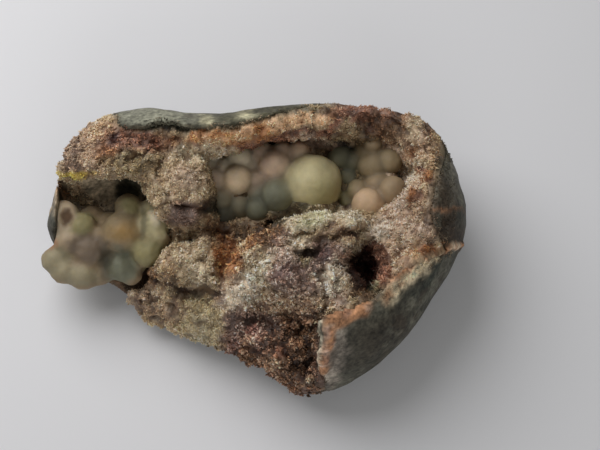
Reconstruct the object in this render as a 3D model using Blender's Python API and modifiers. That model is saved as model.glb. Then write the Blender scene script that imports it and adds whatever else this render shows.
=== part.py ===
"""Aragonite specimen: a water-worn pebble, broken open along one side.

The break shows a long hollow. A sugary crust of crystals covers the broken face and carries
round, waxy globes in the hollow. A second cluster of globes fills a recess at the left end.
+X runs along the pebble, +Y to its far side and +Z up. The pebble rests on a worn flat at z = 0,
and at the end the origin is put under the middle of the specimen's box.
Lengths in the tables are millimetres. Blender's objects are in metres.
"""

import math
from typing import NamedTuple

import bmesh
import bpy
import numpy as np
from mathutils import Matrix, Vector, noise

MM = 0.001

# The pebble at its widest, clockwise from the left end: x, y and the height of the widest point.
OUTLINE = (
    (-34.4, 4.2, 8.5),
    (-34.2, 8.2, 9.6),
    (-33.2, 12.4, 11.4),
    (-30.4, 18.0, 14.0),
    (-26.6, 21.6, 14.0),
    (-19.6, 23.6, 14.0),
    (-11.0, 22.9, 14.0),
    (-1.0, 23.5, 14.0),
    (9.5, 24.4, 14.0),
    (20.5, 23.7, 14.0),
    (27.6, 21.9, 14.0),
    (31.2, 18.9, 14.0),
    (33.6, 12.8, 14.0),
    (34.9, 6.5, 14.0),
    (33.9, 0.6, 13.5),
    (31.4, -4.3, 12.5),
    (26.6, -11.4, 12.0),
    (21.0, -17.6, 11.0),
    (14.5, -21.4, 10.0),
    (8.6, -22.3, 8.5),
    (3.6, -19.2, 7.5),
    (-3.6, -15.2, 6.5),
    (-11.0, -12.0, 6.0),
    (-18.0, -8.9, 6.0),
    (-22.6, -4.4, 6.0),
    (-27.5, -1.6, 6.5),
    (-31.6, 0.2, 7.2),
)
CROWN_Z = 31.0
TOP_POWER = 2.3
UNDERSIDE_POWER = 2.7
WORN_FLAT = 0.8
# Slow undulations of the worn skin: height and size.
SKIN_SWELLS = ((0.45, 10.0), (0.22, 4.6))

# The edge of the broken face in plan, clockwise from the left end. It runs past the pebble there
# and along the whole lower left.
BREAK_EDGE = (
    (-37.0, -2.0),
    (-33.2, 2.6),
    (-32.6, 5.6),
    (-32.4, 8.6),
    (-32.8, 11.2),
    (-32.2, 14.0),
    (-30.4, 17.2),
    (-27.4, 20.3),
    (-24.6, 21.6),
    (-22.8, 20.4),
    (-21.8, 17.7),
    (-17.6, 17.2),
    (-14.9, 18.1),
    (-11.9, 17.4),
    (-8.6, 16.8),
    (-2.3, 17.4),
    (1.2, 18.7),
    (5.0, 20.0),
    (9.8, 21.7),
    (14.0, 23.2),
    (18.6, 23.2),
    (23.6, 22.3),
    (27.8, 20.6),
    (30.4, 18.0),
    (31.3, 14.8),
    (30.3, 11.0),
    (29.2, 7.0),
    (28.5, 2.4),
    (29.6, -0.6),
    (31.6, -1.5),
    (29.2, -3.6),
    (25.3, -6.0),
    (22.5, -8.4),
    (19.8, -11.0),
    (16.8, -13.2),
    (13.4, -14.4),
    (11.2, -15.2),
    (10.3, -15.9),
    (11.0, -16.8),
    (10.5, -17.7),
    (11.2, -18.5),
    (10.3, -19.5),
    (11.0, -20.6),
    (11.4, -21.8),
    (11.0, -25.0),
    (3.0, -24.0),
    (-8.0, -18.6),
    (-20.0, -13.4),
    (-31.0, -9.0),
)
RIND_BEVEL = 1.0
RIND_STEP = 0.4
RIND_BLEND = 0.6

# The edge of the recess at the left end, under the ledge, which holds the end cluster.
RECESS_EDGE = (
    (-38.0, 12.6),
    (-33.4, 12.2),
    (-31.4, 11.2),
    (-29.0, 10.4),
    (-25.0, 9.1),
    (-22.6, 7.5),
    (-21.0, 9.2),
    (-18.6, 8.8),
    (-17.2, 7.2),
    (-16.3, 5.0),
    (-14.6, 3.2),
    (-13.4, 1.8),
    (-14.4, -0.2),
    (-16.0, -2.4),
    (-19.4, -3.9),
    (-22.0, -6.4),
    (-25.0, -10.0),
    (-38.0, -10.0),
)
RECESS_Z = 6.6
RECESS_TILT = -0.18
RECESS_TILT_X = -20.0
RECESS_WALL = 0.9

# The broken face: a plateau that falls away to the lower left past this line.
PLATEAU_Z = 23.4
PLATEAU_SWELL = (0.5, 6.0)
FALL_START = (-12.7, -11.7)
FALL_DIRECTION = (0.51, 0.86)
FALL_Z = 6.4
FALL_SLOPE = 1.4
FALL_BLEND = 2.5
DROP_START = 1.9
DROP_SLOPE = 2.5
LOWEST_Z = -3.0


class Level(NamedTuple):
    """An oval stretch of the broken face: a hollow, a ledge or a hump."""

    x: float
    y: float
    half_length: float
    half_width: float
    turn: float
    z: float
    crown: float
    softness: float


# They are laid over the plateau in this order.
LEVELS = {
    "hollow": Level(8.5, 10.8, 16.5, 6.2, 7, 10.2, 0.0, 0.15),
    "hollow_left": Level(-4.2, 11.2, 4.8, 4.8, 0, 10.8, 0.0, 0.18),
    "globe_bank": Level(-1.0, 12.0, 6.4, 4.2, 0, 11.8, 0.0, 0.30),
    "hollow_right": Level(20.0, 12.6, 6.2, 6.6, 10, 11.6, 0.0, 0.25),
    "right_floor": Level(19.5, 4.4, 5.8, 3.8, -10, 17.0, 0.0, 0.50),
    "valley": Level(-1.8, 1.8, 6.4, 4.4, -25, 13.2, 0.0, 0.35),
    "valley_foot": Level(-4.0, -4.2, 2.6, 3.6, 20, 13.4, 0.0, 0.45),
    "crevice": Level(-12.4, 2.2, 4.6, 2.0, 0, 9.5, 0.0, 0.50),
    "tongue": Level(-11.8, 9.0, 5.0, 5.6, 0, 22.4, 0.8, 0.16),
    "shoulder": Level(-12.0, -2.4, 4.9, 3.4, 15, 15.4, 1.4, 0.35),
    "foot_hump": Level(-9.4, -10.2, 3.3, 3.4, 0, 9.6, 1.6, 0.35),
    "left_foot": Level(-18.2, -6.4, 4.4, 2.6, -35, 6.4, 0.8, 0.30),
    "hump": Level(8.4, -4.4, 8.8, 6.4, -20, 23.4, 0.8, 0.24),
    "lower_mass": Level(5.0, -15.6, 6.6, 4.8, -32, 13.6, 1.8, 0.30),
    "lower_toe": Level(8.4, -20.4, 2.8, 2.4, 0, 11.4, 0.6, 0.40),
    "right_slope": Level(23.4, -3.4, 5.2, 5.2, -30, 22.0, 0.0, 0.40),
    "pit": Level(17.6, -5.4, 2.4, 4.4, 8, 13.5, 0.0, 0.30),
    "far_notch": Level(18.6, 19.6, 2.0, 1.6, 0, 18.4, 0.0, 0.40),
}

# Ridges stand on the levels: half width, then x, y and height along the crest.
RIDGES = {
    "hump_crest": (2.2, ((-4.1, -10.6, 16.6), (-1.3, -5.3, 20.0), (1.9, -0.9, 22.4), (5.9, 2.0, 24.4))),
    "hump_brow": (2.2, ((5.9, 2.0, 24.4), (10.7, 2.6, 25.6), (15.1, 2.0, 25.0))),
    "pale_column": (1.8, ((14.8, -8.6, 24.4), (13.6, -13.4, 23.6))),
    "far_rim": (
        1.3,
        ((-9.4, 16.2, 24.0), (-2.3, 16.7, 24.0), (3.8, 18.5, 23.6), (9.6, 20.4, 22.4), (14.4, 22.0, 20.0)),
    ),
}
CROWN_REACH = 1.6
RIDGE_FALL = (0.35, 0.3)
RIDGE_BLEND = 0.8

# The crust: its thickness, and the packed knobs and the ripple on it, each with height and size.
CRUST_THICKNESS = 1.8
CRUST_KNOBS = ((1.5, 3.6), (0.7, 2.0))
CRUST_RIPPLE = (0.6, 3.0)
KNOB_FALL = 1.6
KNOB_FEET = -0.8
CRUST_LAYER = 5.0

# Globes of the hollow, bedded in the crust: x, y, z of the middle and radius.
HOLLOW_GLOBES = (
    (9.5, 11.7, 13.6, 4.9),
    (-7.4, 16.8, 14.2, 1.6),
    (-2.5, 16.0, 14.2, 2.1),
    (-3.0, 12.1, 14.0, 2.6),
    (3.3, 15.0, 14.0, 2.9),
    (3.8, 9.6, 13.6, 2.9),
    (0.5, 7.5, 12.8, 1.9),
    (-6.9, 12.6, 13.6, 2.1),
    (-5.5, 9.0, 13.0, 2.0),
    (0.2, 12.2, 13.2, 2.0),
    (14.3, 17.1, 12.4, 2.0),
    (16.6, 16.3, 12.2, 1.9),
    (19.4, 17.5, 13.2, 2.6),
    (19.6, 18.1, 15.4, 1.5),
    (19.9, 14.9, 13.6, 2.6),
    (17.2, 10.7, 13.0, 1.9),
    (18.8, 7.7, 14.2, 2.7),
    (22.4, 15.3, 14.6, 2.1),
    (15.7, 9.7, 11.8, 1.5),
    (20.6, 11.5, 13.2, 2.4),
    (22.8, 10.1, 14.4, 2.4),
    (15.6, 13.5, 11.2, 1.9),
)

# Lumps of the crust, each a low dome: x, y, radius and height.
CRUST_LUMPS = (
    (-11.8, 8.4, 4.2, 1.0),
    (-10.6, -2.2, 3.4, 0.9),
    (-13.6, -5.0, 2.4, 0.9),
    (-8.6, -9.8, 3.4, 1.2),
    (-20.0, -6.6, 2.6, 0.8),
    (-13.0, -8.4, 2.6, 0.9),
    (-2.4, -9.0, 3.0, 1.2),
    (7.0, 2.0, 2.2, 0.9),
    (10.8, 3.0, 2.3, 0.9),
    (14.6, 2.4, 1.9, 0.9),
    (6.0, -5.0, 3.2, 0.9),
    (11.0, -7.0, 3.0, 0.8),
    (2.4, -14.0, 3.0, 1.0),
    (6.8, -15.6, 2.8, 0.9),
    (4.4, -18.6, 2.4, 0.9),
    (8.2, -21.0, 1.8, 0.8),
    (22.6, 0.6, 3.0, 0.8),
    (23.6, -5.4, 2.8, 0.7),
    (25.6, 5.4, 2.8, 0.7),
    (-20.0, 12.6, 3.6, 0.9),
    (-26.0, 13.6, 3.2, 0.7),
)

# Globes of the end cluster: x, y, z of the middle and radius.
END_GLOBES = (
    (-32.0, 4.9, 12.0, 2.3),
    (-28.9, 4.8, 12.0, 2.5),
    (-31.0, 2.4, 11.2, 2.5),
    (-27.6, 1.3, 10.2, 3.1),
    (-33.3, -0.1, 9.4, 2.5),
    (-31.6, -1.8, 8.8, 2.6),
    (-28.8, -2.3, 8.6, 2.9),
    (-25.6, -2.1, 8.0, 2.0),
    (-21.9, 3.7, 12.6, 3.5),
    (-24.4, 3.1, 11.4, 2.4),
    (-21.2, 6.5, 13.4, 2.0),
    (-16.8, 4.7, 13.6, 2.6),
    (-15.8, 2.5, 13.0, 2.1),
    (-17.7, 0.4, 11.6, 2.7),
    (-22.4, -1.4, 9.2, 2.5),
    (-20.6, -2.5, 8.6, 1.9),
    (-24.0, 5.1, 8.8, 3.4),
    (-27.6, 7.1, 8.0, 2.8),
    (-18.6, 3.1, 9.4, 3.8),
    (-20.6, 0.1, 8.2, 2.8),
    (-30.4, 2.1, 8.0, 3.4),
    (-26.4, 2.1, 7.4, 3.4),
)
# The brown hollow in the end globe that stands out as a ring.
RING_HOLLOW = (-31.5, 5.7, 14.3, 1.1)

# Hollows that run in under the far wall and the ledge: x, y, z of the middle and three radii.
UNDERCUTS = (
    (6.4, 16.0, 13.8, 16.8, 5.0, 7.0),
    (-24.6, 8.4, 13.4, 7.4, 5.0, 7.0),
    (-17.4, 5.2, 13.0, 4.2, 3.8, 4.6),
)
# The part of each that the crust leaves open.
CRUST_UNDERCUTS = (
    (6.4, 15.4, 15.8, 15.4, 4.4, 5.0),
    (-24.6, 8.4, 13.4, 8.6, 5.0, 7.0),
    (-17.4, 5.2, 13.0, 4.2, 3.8, 4.6),
)
# The crust and the cluster stand off the rock by a hair: straight up, and in from an undercut.
SEAT_LIFT = 0.55
SEAT_INSET = 0.4
EDGE_GAP = 0.4
CRUST_OVERHANG = 0.2
RECESS_GAP = 0.25

# Blocks that cut the pieces out of each other reach well past the pebble.
BLOCK_HALF_SIDES = (41.0, 29.0)
BLOCK_BOTTOM_Z = -6.0
BLOCK_TOP_Z = 50.0
PRISM_Z = (-5.0, 45.0)
GROUND_BLOCK = (120.0, 120.0, 20.0)

# How finely each surface is drawn, and the share of its faces that is kept.
SEAT_GRID = 1.2
CRUST_GRID = 0.7
CRUST_VOXEL = 0.55
CLUSTER_VOXEL = 0.45
SKIN_FACES_KEPT = 0.062
SEAT_FACES_KEPT = 0.056
CRUST_FACES_KEPT = 0.0472
CLUSTER_FACES_KEPT = 0.085


# Curves and fields in the plan


def closed_curve(points, per_span=8):
    """A smooth closed curve through the points, as rows of coordinates."""
    p = np.array(points, float)
    before, after, next_after = np.roll(p, 1, 0), np.roll(p, -1, 0), np.roll(p, -2, 0)
    t = (np.arange(per_span) / per_span)[None, :, None]
    a, b, c, d = (q[:, None, :] for q in (before, p, after, next_after))
    bend = 2 * a - 5 * b + 4 * c - d
    twist = 3 * b - 3 * c + d - a
    curve = b + 0.5 * ((c - a) * t + bend * t**2 + twist * t**3)
    return curve.reshape(-1, p.shape[1])


def inset(points, distance):
    """The points of a closed curve moved in by a small distance, or out by one below zero."""
    p = np.array(points, float)[:, :2]
    along = np.roll(p, -1, 0) - np.roll(p, 1, 0)
    inward = np.stack([-along[:, 1], along[:, 0]], 1) / np.hypot(along[:, 0], along[:, 1])[:, None]
    clockwise = (p[:, 0] * np.roll(p[:, 1], -1) - p[:, 1] * np.roll(p[:, 0], -1)).sum() < 0
    return p + inward * (-distance if clockwise else distance)


def signed_distance(x, y, curve):
    """Distance to a closed curve in the plan, above zero inside it."""
    ax, ay = curve[:, 0], curve[:, 1]
    bx, by = np.roll(ax, -1), np.roll(ay, -1)
    px, py = x[..., None], y[..., None]
    ex, ey = bx - ax, by - ay
    t = np.clip(((px - ax) * ex + (py - ay) * ey) / (ex * ex + ey * ey), 0, 1)
    nearest = np.hypot(px - ax - t * ex, py - ay - t * ey).min(-1)
    with np.errstate(divide="ignore", invalid="ignore"):
        crosses = ((ay > py) != (by > py)) & (px < ex * (py - ay) / ey + ax)
    return np.where(crosses.sum(-1) % 2 == 1, nearest, -nearest)


def smooth(t):
    t = np.clip(t, 0, 1)
    return t * t * (3 - 2 * t)


def soft_min(a, b, width):
    return 0.5 * (a + b - np.sqrt((a - b) ** 2 + width * width))


def soft_max(a, b, width):
    return -soft_min(-a, -b, width)


def wander(x, y, size, layer=0.0):
    """Smooth noise in the plan, about -1 to 1, with lumps of this size. Each layer is another noise."""
    points = (Vector((px / size, py / size, layer)) for px, py in zip(x.ravel(), y.ravel()))
    return np.array([noise.noise(point) for point in points]).reshape(x.shape)


def knobs(x, y, size):
    """Rounded knobs packed side by side in the plan: 1 on a knob's top and 0 between knobs."""
    points = (Vector((px / size, py / size, size)) for px, py in zip(x.ravel(), y.ravel()))
    near = np.array([noise.voronoi(point)[0][0] for point in points]).reshape(x.shape)
    return np.clip(1 - KNOB_FALL * near**2, 0, 1)


# The pebble's skin

OUTLINE_CURVE = closed_curve(OUTLINE)
OUTLINE_ANGLE = np.arctan2(OUTLINE_CURVE[:, 1], OUTLINE_CURVE[:, 0])
BREAK_CURVE = closed_curve(BREAK_EDGE, 4)
RECESS_CURVE = closed_curve(RECESS_EDGE, 3)


def outline_at(angle):
    """Radius of the pebble at its widest, and the height of that point, by angle in the plan."""
    order = np.argsort(OUTLINE_ANGLE)
    turn = OUTLINE_ANGLE[order]
    radius = np.hypot(OUTLINE_CURVE[order, 0], OUTLINE_CURVE[order, 1])
    widest = OUTLINE_CURVE[order, 2]
    return (
        np.interp(angle, turn, radius, period=2 * math.pi),
        np.interp(angle, turn, widest, period=2 * math.pi),
    )


def skin_height(x, y):
    """Height of the whole pebble's upper skin over a point of the plan."""
    radius, widest = outline_at(np.arctan2(y, x))
    reach = np.clip(np.hypot(x, y) / radius, 0, 1)
    return widest + (CROWN_Z - widest) * (1 - reach**TOP_POWER) ** (1 / TOP_POWER)


def skin_point(direction):
    """The skin's point for a direction from the middle, with the pebble's slow undulation."""
    radius, widest = outline_at(math.atan2(direction.y, direction.x))
    rise = min(1.0, abs(direction.z))
    power = TOP_POWER if direction.z > 0 else UNDERSIDE_POWER
    reach = float(radius) * (1 - rise**power) ** (1 / power)
    flat = math.hypot(direction.x, direction.y) or 1.0
    z = widest + (CROWN_Z - widest) * rise if direction.z > 0 else widest - (widest + WORN_FLAT) * rise
    point = Vector((reach * direction.x / flat, reach * direction.y / flat, float(z)))
    swell = sum(height * noise.noise(point / size) for height, size in SKIN_SWELLS)
    return point + swell * direction


# The broken face


def level_weight(x, y, level):
    """How far a level holds at a point, and the square of its own radius there."""
    cos, sin = math.cos(math.radians(level.turn)), math.sin(math.radians(level.turn))
    along = ((x - level.x) * cos + (y - level.y) * sin) / level.half_length
    across = ((y - level.y) * cos - (x - level.x) * sin) / level.half_width
    radius = np.hypot(along, across)
    return smooth((1 + level.softness - radius) / (2 * level.softness)), radius**2


def ridge_height(x, y, half_width, crest):
    """Height of a ridge over a point: its crest, falling off to both sides."""
    best = np.full(x.shape, -np.inf)
    near_fall, far_fall = RIDGE_FALL
    for (ax, ay, az), (bx, by, bz) in zip(crest, crest[1:]):
        ex, ey = bx - ax, by - ay
        t = np.clip(((x - ax) * ex + (y - ay) * ey) / (ex * ex + ey * ey), 0, 1)
        off = np.hypot(x - ax - t * ex, y - ay - t * ey) / half_width
        fall = half_width * (near_fall * off**2 + far_fall * off**4)
        best = np.maximum(best, az + (bz - az) * t - fall)
    return best


def break_height(x, y):
    """Height of the broken face's main forms, before the crust's lumps."""
    past = (x - FALL_START[0]) * FALL_DIRECTION[0] + (y - FALL_START[1]) * FALL_DIRECTION[1]
    z = soft_min(np.full(x.shape, PLATEAU_Z), FALL_Z + FALL_SLOPE * past, FALL_BLEND)
    swell_height, swell_size = PLATEAU_SWELL
    z = z + swell_height * wander(x, y, swell_size)
    for level in LEVELS.values():
        weight, squared = level_weight(x, y, level)
        target = level.z + level.crown * (1 - np.minimum(squared, CROWN_REACH))
        z = z + (target - z) * weight
    for half_width, crest in RIDGES.values():
        z = soft_max(z, ridge_height(x, y, half_width, crest), RIDGE_BLEND)
    recess = RECESS_Z + RECESS_TILT * (x - RECESS_TILT_X)
    z = z + (recess - z) * smooth(signed_distance(x, y, RECESS_CURVE) / RECESS_WALL + 0.5)
    rind = skin_height(x, y) - RIND_STEP
    z = soft_min(z, rind, RIND_BLEND)
    radius, _ = outline_at(np.arctan2(y, x))
    outside = np.maximum(np.hypot(x, y) - radius, 0)
    hold = (1 - smooth(signed_distance(x, y, BREAK_CURVE) / RIND_BEVEL)) * (1 - smooth(outside))
    drop = DROP_SLOPE * np.maximum(outside - DROP_START, 0)
    return np.maximum(z + (rind - z) * hold - drop, LOWEST_Z)


def seat_height(x, y):
    """The host rock's broken face, which lies under the crust by the crust's thickness."""
    lowest = break_height(x, y) - CRUST_THICKNESS
    for share in (0.6, 0.92):
        reach, drop = share * CRUST_THICKNESS, math.sqrt(1 - share**2) * CRUST_THICKNESS
        for turn in range(0, 360, 45):
            dx, dy = reach * math.cos(math.radians(turn)), reach * math.sin(math.radians(turn))
            lowest = np.minimum(lowest, break_height(x + dx, y + dy) - drop)
    return lowest


def crust_height(x, y):
    """The crust's upper surface, with its lumps."""
    z = break_height(x, y) + KNOB_FEET
    for height, size in CRUST_KNOBS:
        z = z + height * knobs(x, y, size)
    height, size = CRUST_RIPPLE
    z = z + height * wander(x, y, size, CRUST_LAYER)
    for cx, cy, radius, height in CRUST_LUMPS:
        z = z + height * smooth(1 - np.hypot(x - cx, y - cy) / radius)
    return z


# Making and joining meshes


def clear_scene():
    for obj in list(bpy.data.objects):
        bpy.data.objects.remove(obj, do_unlink=True)


def collection(name):
    made = bpy.data.collections.new(name)
    bpy.context.scene.collection.children.link(made)
    return made


def add_object(name, bm, where):
    mesh = bpy.data.meshes.new(name)
    bmesh.ops.recalc_face_normals(bm, faces=bm.faces)
    if bm.calc_volume(signed=True) < 0:
        bmesh.ops.reverse_faces(bm, faces=bm.faces)
    bm.to_mesh(mesh)
    bm.free()
    obj = bpy.data.objects.new(name, mesh)
    where.objects.link(obj)
    return obj


def add_cutter(name, bm, where):
    obj = add_object(name, bm, where)
    obj.hide_render = True
    obj.display_type = "WIRE"
    return obj


def settle(obj):
    """Replaces an object's mesh by its evaluated one, so that its modifiers are part of it."""
    bpy.context.view_layer.update()
    graph = bpy.context.evaluated_depsgraph_get()
    mesh = bpy.data.meshes.new_from_object(obj.evaluated_get(graph))
    obj.modifiers.clear()
    obj.data = mesh
    return obj


def boolean(obj, other, operation):
    modifier = obj.modifiers.new(other.name, "BOOLEAN")
    modifier.operation = operation
    modifier.solver = "EXACT"
    modifier.object = other
    return settle(obj)


def pinched(mesh):
    """Whether an edge has other than two faces."""
    bm = bmesh.new()
    bm.from_mesh(mesh)
    found = any(not edge.is_manifold for edge in bm.edges)
    bm.free()
    return found


def decimate(obj, ratio):
    """Keeps about this share of the faces, or a little more where that would pinch an edge."""
    whole = obj.data
    for step in range(60):
        modifier = obj.modifiers.new("fewer faces", "DECIMATE")
        modifier.ratio = ratio * (1 + 0.01 * step)
        modifier.use_collapse_triangulate = True
        settle(obj)
        if not pinched(obj.data):
            return obj
        obj.data = whole
    raise RuntimeError(f"{obj.name} can't be thinned without a pinched edge")


def voxel_union(obj, voxel, smoothing):
    """Melts an object's overlapping closed shapes into one skin."""
    remesh = obj.modifiers.new("one skin", "REMESH")
    remesh.mode = "VOXEL"
    remesh.voxel_size = voxel * MM
    settle(obj)
    if not smoothing:
        return obj
    relax = obj.modifiers.new("relax", "SMOOTH")
    relax.factor = 0.5
    relax.iterations = smoothing
    return settle(obj)


def keep_largest(obj):
    """Drops crumbs that a cut has parted from the main body."""
    bm = bmesh.new()
    bm.from_mesh(obj.data)
    left, shells = set(bm.verts), []
    while left:
        shell, front = set(), [left.pop()]
        while front:
            vert = front.pop()
            shell.add(vert)
            linked = {edge.other_vert(vert) for edge in vert.link_edges} & left
            left -= linked
            front.extend(linked)
        shells.append(shell)
    shells.sort(key=len)
    bmesh.ops.delete(bm, geom=[v for shell in shells[:-1] for v in shell], context="VERTS")
    bm.to_mesh(obj.data)
    bm.free()
    return obj


def height_block(name, where, height, step, far_z):
    """A block over the whole plan, with one face shaped by a height function and one flat."""
    half_x, half_y = BLOCK_HALF_SIDES
    bm = bmesh.new()
    bmesh.ops.create_grid(
        bm,
        x_segments=round(2 * half_x / step),
        y_segments=round(2 * half_y / step),
        size=1.0,
        matrix=Matrix.Diagonal((half_x, half_y, 1, 1)),
    )
    verts = list(bm.verts)
    plan = np.array([v.co for v in verts])
    for vert, z in zip(verts, height(plan[:, 0], plan[:, 1])):
        vert.co.z = z
    made = bmesh.ops.extrude_face_region(bm, geom=list(bm.faces), use_keep_orig=True)["geom"]
    for vert in made:
        if isinstance(vert, bmesh.types.BMVert):
            vert.co.z = far_z
    bmesh.ops.triangulate(bm, faces=bm.faces)
    bmesh.ops.scale(bm, vec=(MM, MM, MM), verts=bm.verts)
    return add_cutter(name, bm, where)


def prism(name, where, curve):
    """An upright block with the closed curve as its outline."""
    low, high = PRISM_Z
    line = bpy.data.curves.new(name, "CURVE")
    line.dimensions = "2D"
    line.fill_mode = "BOTH"
    line.extrude = (high - low) / 2 * MM
    spline = line.splines.new("POLY")
    spline.points.add(len(curve) - 1)
    for point, (x, y) in zip(spline.points, curve):
        point.co = (x * MM, y * MM, 0, 1)
    spline.use_cyclic_u = True
    guide = bpy.data.objects.new(name, line)
    where.objects.link(guide)
    guide.location.z = (high + low) / 2 * MM
    bpy.context.view_layer.update()
    graph = bpy.context.evaluated_depsgraph_get()
    mesh = bpy.data.meshes.new_from_object(guide.evaluated_get(graph))
    bm = bmesh.new()
    bm.from_mesh(mesh)
    bmesh.ops.remove_doubles(bm, verts=bm.verts, dist=1e-6)
    bmesh.ops.transform(bm, matrix=guide.matrix_world, verts=bm.verts)
    bpy.data.objects.remove(guide)
    return add_cutter(name, bm, where)


def add_ball(bm, centre, radii, subdivisions):
    place = Matrix.Translation(Vector(centre) * MM) @ Matrix.Diagonal((*(r * MM for r in radii), 1))
    bmesh.ops.create_icosphere(bm, subdivisions=subdivisions, radius=1, matrix=place)


def ball(name, where, centre, radii, subdivisions=3):
    bm = bmesh.new()
    add_ball(bm, centre, radii, subdivisions)
    return add_cutter(name, bm, where)


def add_balls(obj, balls):
    """Adds round balls to an object's mesh, as closed shapes of their own."""
    bm = bmesh.new()
    bm.from_mesh(obj.data)
    for x, y, z, radius in balls:
        add_ball(bm, (x, y, z), (radius,) * 3, 3)
    bm.to_mesh(obj.data)
    bm.free()
    return obj


def copy_of(obj, name, where):
    twin = bpy.data.objects.new(name, obj.data.copy())
    where.objects.link(twin)
    twin.hide_render = True
    twin.display_type = "WIRE"
    return twin


def material(name, colour, roughness):
    made = bpy.data.materials.new(name)
    made.use_nodes = True
    shader = made.node_tree.nodes["Principled BSDF"]
    shader.inputs["Base Color"].default_value = (*colour, 1)
    shader.inputs["Roughness"].default_value = roughness
    shader.inputs["Metallic"].default_value = 0
    return made


def finish(obj, name, where, finish_material):
    """Names a finished piece, gives it its material and moves it to the specimen's collection."""
    for owner in list(obj.users_collection):
        owner.objects.unlink(obj)
    where.objects.link(obj)
    obj.name = obj.data.name = name
    obj.hide_render = False
    obj.display_type = "TEXTURED"
    obj.data.materials.clear()
    obj.data.materials.append(finish_material)
    obj.data.shade_smooth()
    obj.data.set_sharp_from_angle(angle=math.radians(50))
    return obj


def stand_on_origin(pieces):
    """Moves the pieces together, so that the origin lies under the middle of the specimen's box."""
    corners = np.array([vert.co for piece in pieces for vert in piece.data.vertices])
    low, high = corners.min(0), corners.max(0)
    shift = -Vector(((low[0] + high[0]) / 2, (low[1] + high[1]) / 2, low[2]))
    for piece in pieces:
        piece.data.transform(Matrix.Translation(shift))


# The pieces


def make_space(name, cutters, over_seat, lift, inset):
    """What the break took away: all that lies over the seat, and the undercuts."""
    space = copy_of(over_seat, name, cutters)
    space.data.transform(Matrix.Translation((0, 0, lift * MM)))
    boolean(space, prism("break_edge", cutters, BREAK_CURVE), "INTERSECT")
    for x, y, z, rx, ry, rz in UNDERCUTS:
        boolean(space, ball("undercut", cutters, (x, y, z), (rx - inset, ry - inset, rz - inset)), "UNION")
    return space


def make_host_rock(cutters, hollow):
    """The pebble itself, worn smooth outside, with the hollow taken out of it."""
    bm = bmesh.new()
    bmesh.ops.create_icosphere(bm, subdivisions=6, radius=1)
    for vert in bm.verts:
        vert.co = skin_point(vert.co.normalized()) * MM
    pebble = add_object("pebble", bm, cutters)
    decimate(pebble, SKIN_FACES_KEPT)
    boolean(pebble, hollow, "DIFFERENCE")
    ground = bmesh.new()
    length, width, depth = (side * MM for side in GROUND_BLOCK)
    bmesh.ops.create_cube(ground, size=1, matrix=Matrix.Diagonal((length, width, depth, 1)))
    bmesh.ops.translate(ground, vec=(0, 0, -depth / 2), verts=ground.verts)
    boolean(pebble, add_cutter("ground", ground, cutters), "DIFFERENCE")
    return keep_largest(pebble)


def make_crystal_crust(cutters, seat):
    """The sugary crust over the broken face, with the hollow's globes grown into it."""
    crust = height_block("crust", cutters, crust_height, CRUST_GRID, BLOCK_BOTTOM_Z)
    edge = closed_curve(inset(BREAK_EDGE, EDGE_GAP), 4)
    rim = closed_curve(inset(OUTLINE, -CRUST_OVERHANG), 4)
    recess = closed_curve(inset(RECESS_EDGE, -RECESS_GAP), 3)
    boolean(crust, prism("crust_edge", cutters, edge), "INTERSECT")
    boolean(crust, prism("crust_rim", cutters, rim), "INTERSECT")
    boolean(crust, prism("recess_edge", cutters, recess), "DIFFERENCE")
    for x, y, z, rx, ry, rz in CRUST_UNDERCUTS:
        boolean(crust, ball("crust_undercut", cutters, (x, y, z), (rx, ry, rz)), "DIFFERENCE")
    add_balls(crust, HOLLOW_GLOBES)
    voxel_union(crust, CRUST_VOXEL, 0)
    decimate(crust, CRUST_FACES_KEPT)
    boolean(crust, seat, "INTERSECT")
    return keep_largest(crust)


def make_end_cluster(cutters, seat):
    """The globes that fill the recess at the left end and bulge out of it."""
    cluster = add_cutter("cluster", bmesh.new(), cutters)
    add_balls(cluster, END_GLOBES)
    voxel_union(cluster, CLUSTER_VOXEL, 1)
    x, y, z, radius = RING_HOLLOW
    boolean(cluster, ball("ring_hollow", cutters, (x, y, z), (radius,) * 3, 2), "DIFFERENCE")
    decimate(cluster, CLUSTER_FACES_KEPT)
    room = prism("cluster_room", cutters, closed_curve(inset(RECESS_EDGE, RECESS_GAP), 3))
    for x, y, z, rx, ry, rz in UNDERCUTS[1:]:
        radii = (rx - SEAT_INSET, ry - SEAT_INSET, rz - SEAT_INSET)
        boolean(room, ball("cluster_undercut", cutters, (x, y, z), radii), "UNION")
    boolean(cluster, seat, "INTERSECT")
    boolean(cluster, room, "INTERSECT")
    return keep_largest(cluster)


def main():
    clear_scene()
    specimen = collection("aragonite_specimen")
    cutters = collection("cutters")
    over_seat = height_block("over_seat", cutters, seat_height, SEAT_GRID, BLOCK_TOP_Z)
    decimate(over_seat, SEAT_FACES_KEPT)
    hollow = make_space("hollow", cutters, over_seat, 0, 0)
    seat = make_space("seat", cutters, over_seat, SEAT_LIFT, SEAT_INSET)
    host = make_host_rock(cutters, hollow)
    crust = make_crystal_crust(cutters, seat)
    cluster = make_end_cluster(cutters, seat)
    finish(host, "host_rock", specimen, material("worn rock", (0.16, 0.16, 0.145), 0.6))
    finish(crust, "crystal_crust", specimen, material("sugary crust", (0.42, 0.31, 0.24), 0.5))
    finish(cluster, "end_cluster", specimen, material("waxy globes", (0.47, 0.42, 0.27), 0.35))
    stand_on_origin((host, crust, cluster))


main()
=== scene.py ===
"""The looks of an aragonite specimen: a worn pebble, broken open, with a crystal crust and waxy globes.

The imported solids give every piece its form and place. The pebble, the crust and both groups of
globes are drawn again on them with a fine surface, and small crystals are sown over the crust.
Tables are in millimetres. Patches of colour are placed across and up, as the camera sees them.
"""

import math
from typing import NamedTuple

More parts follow.
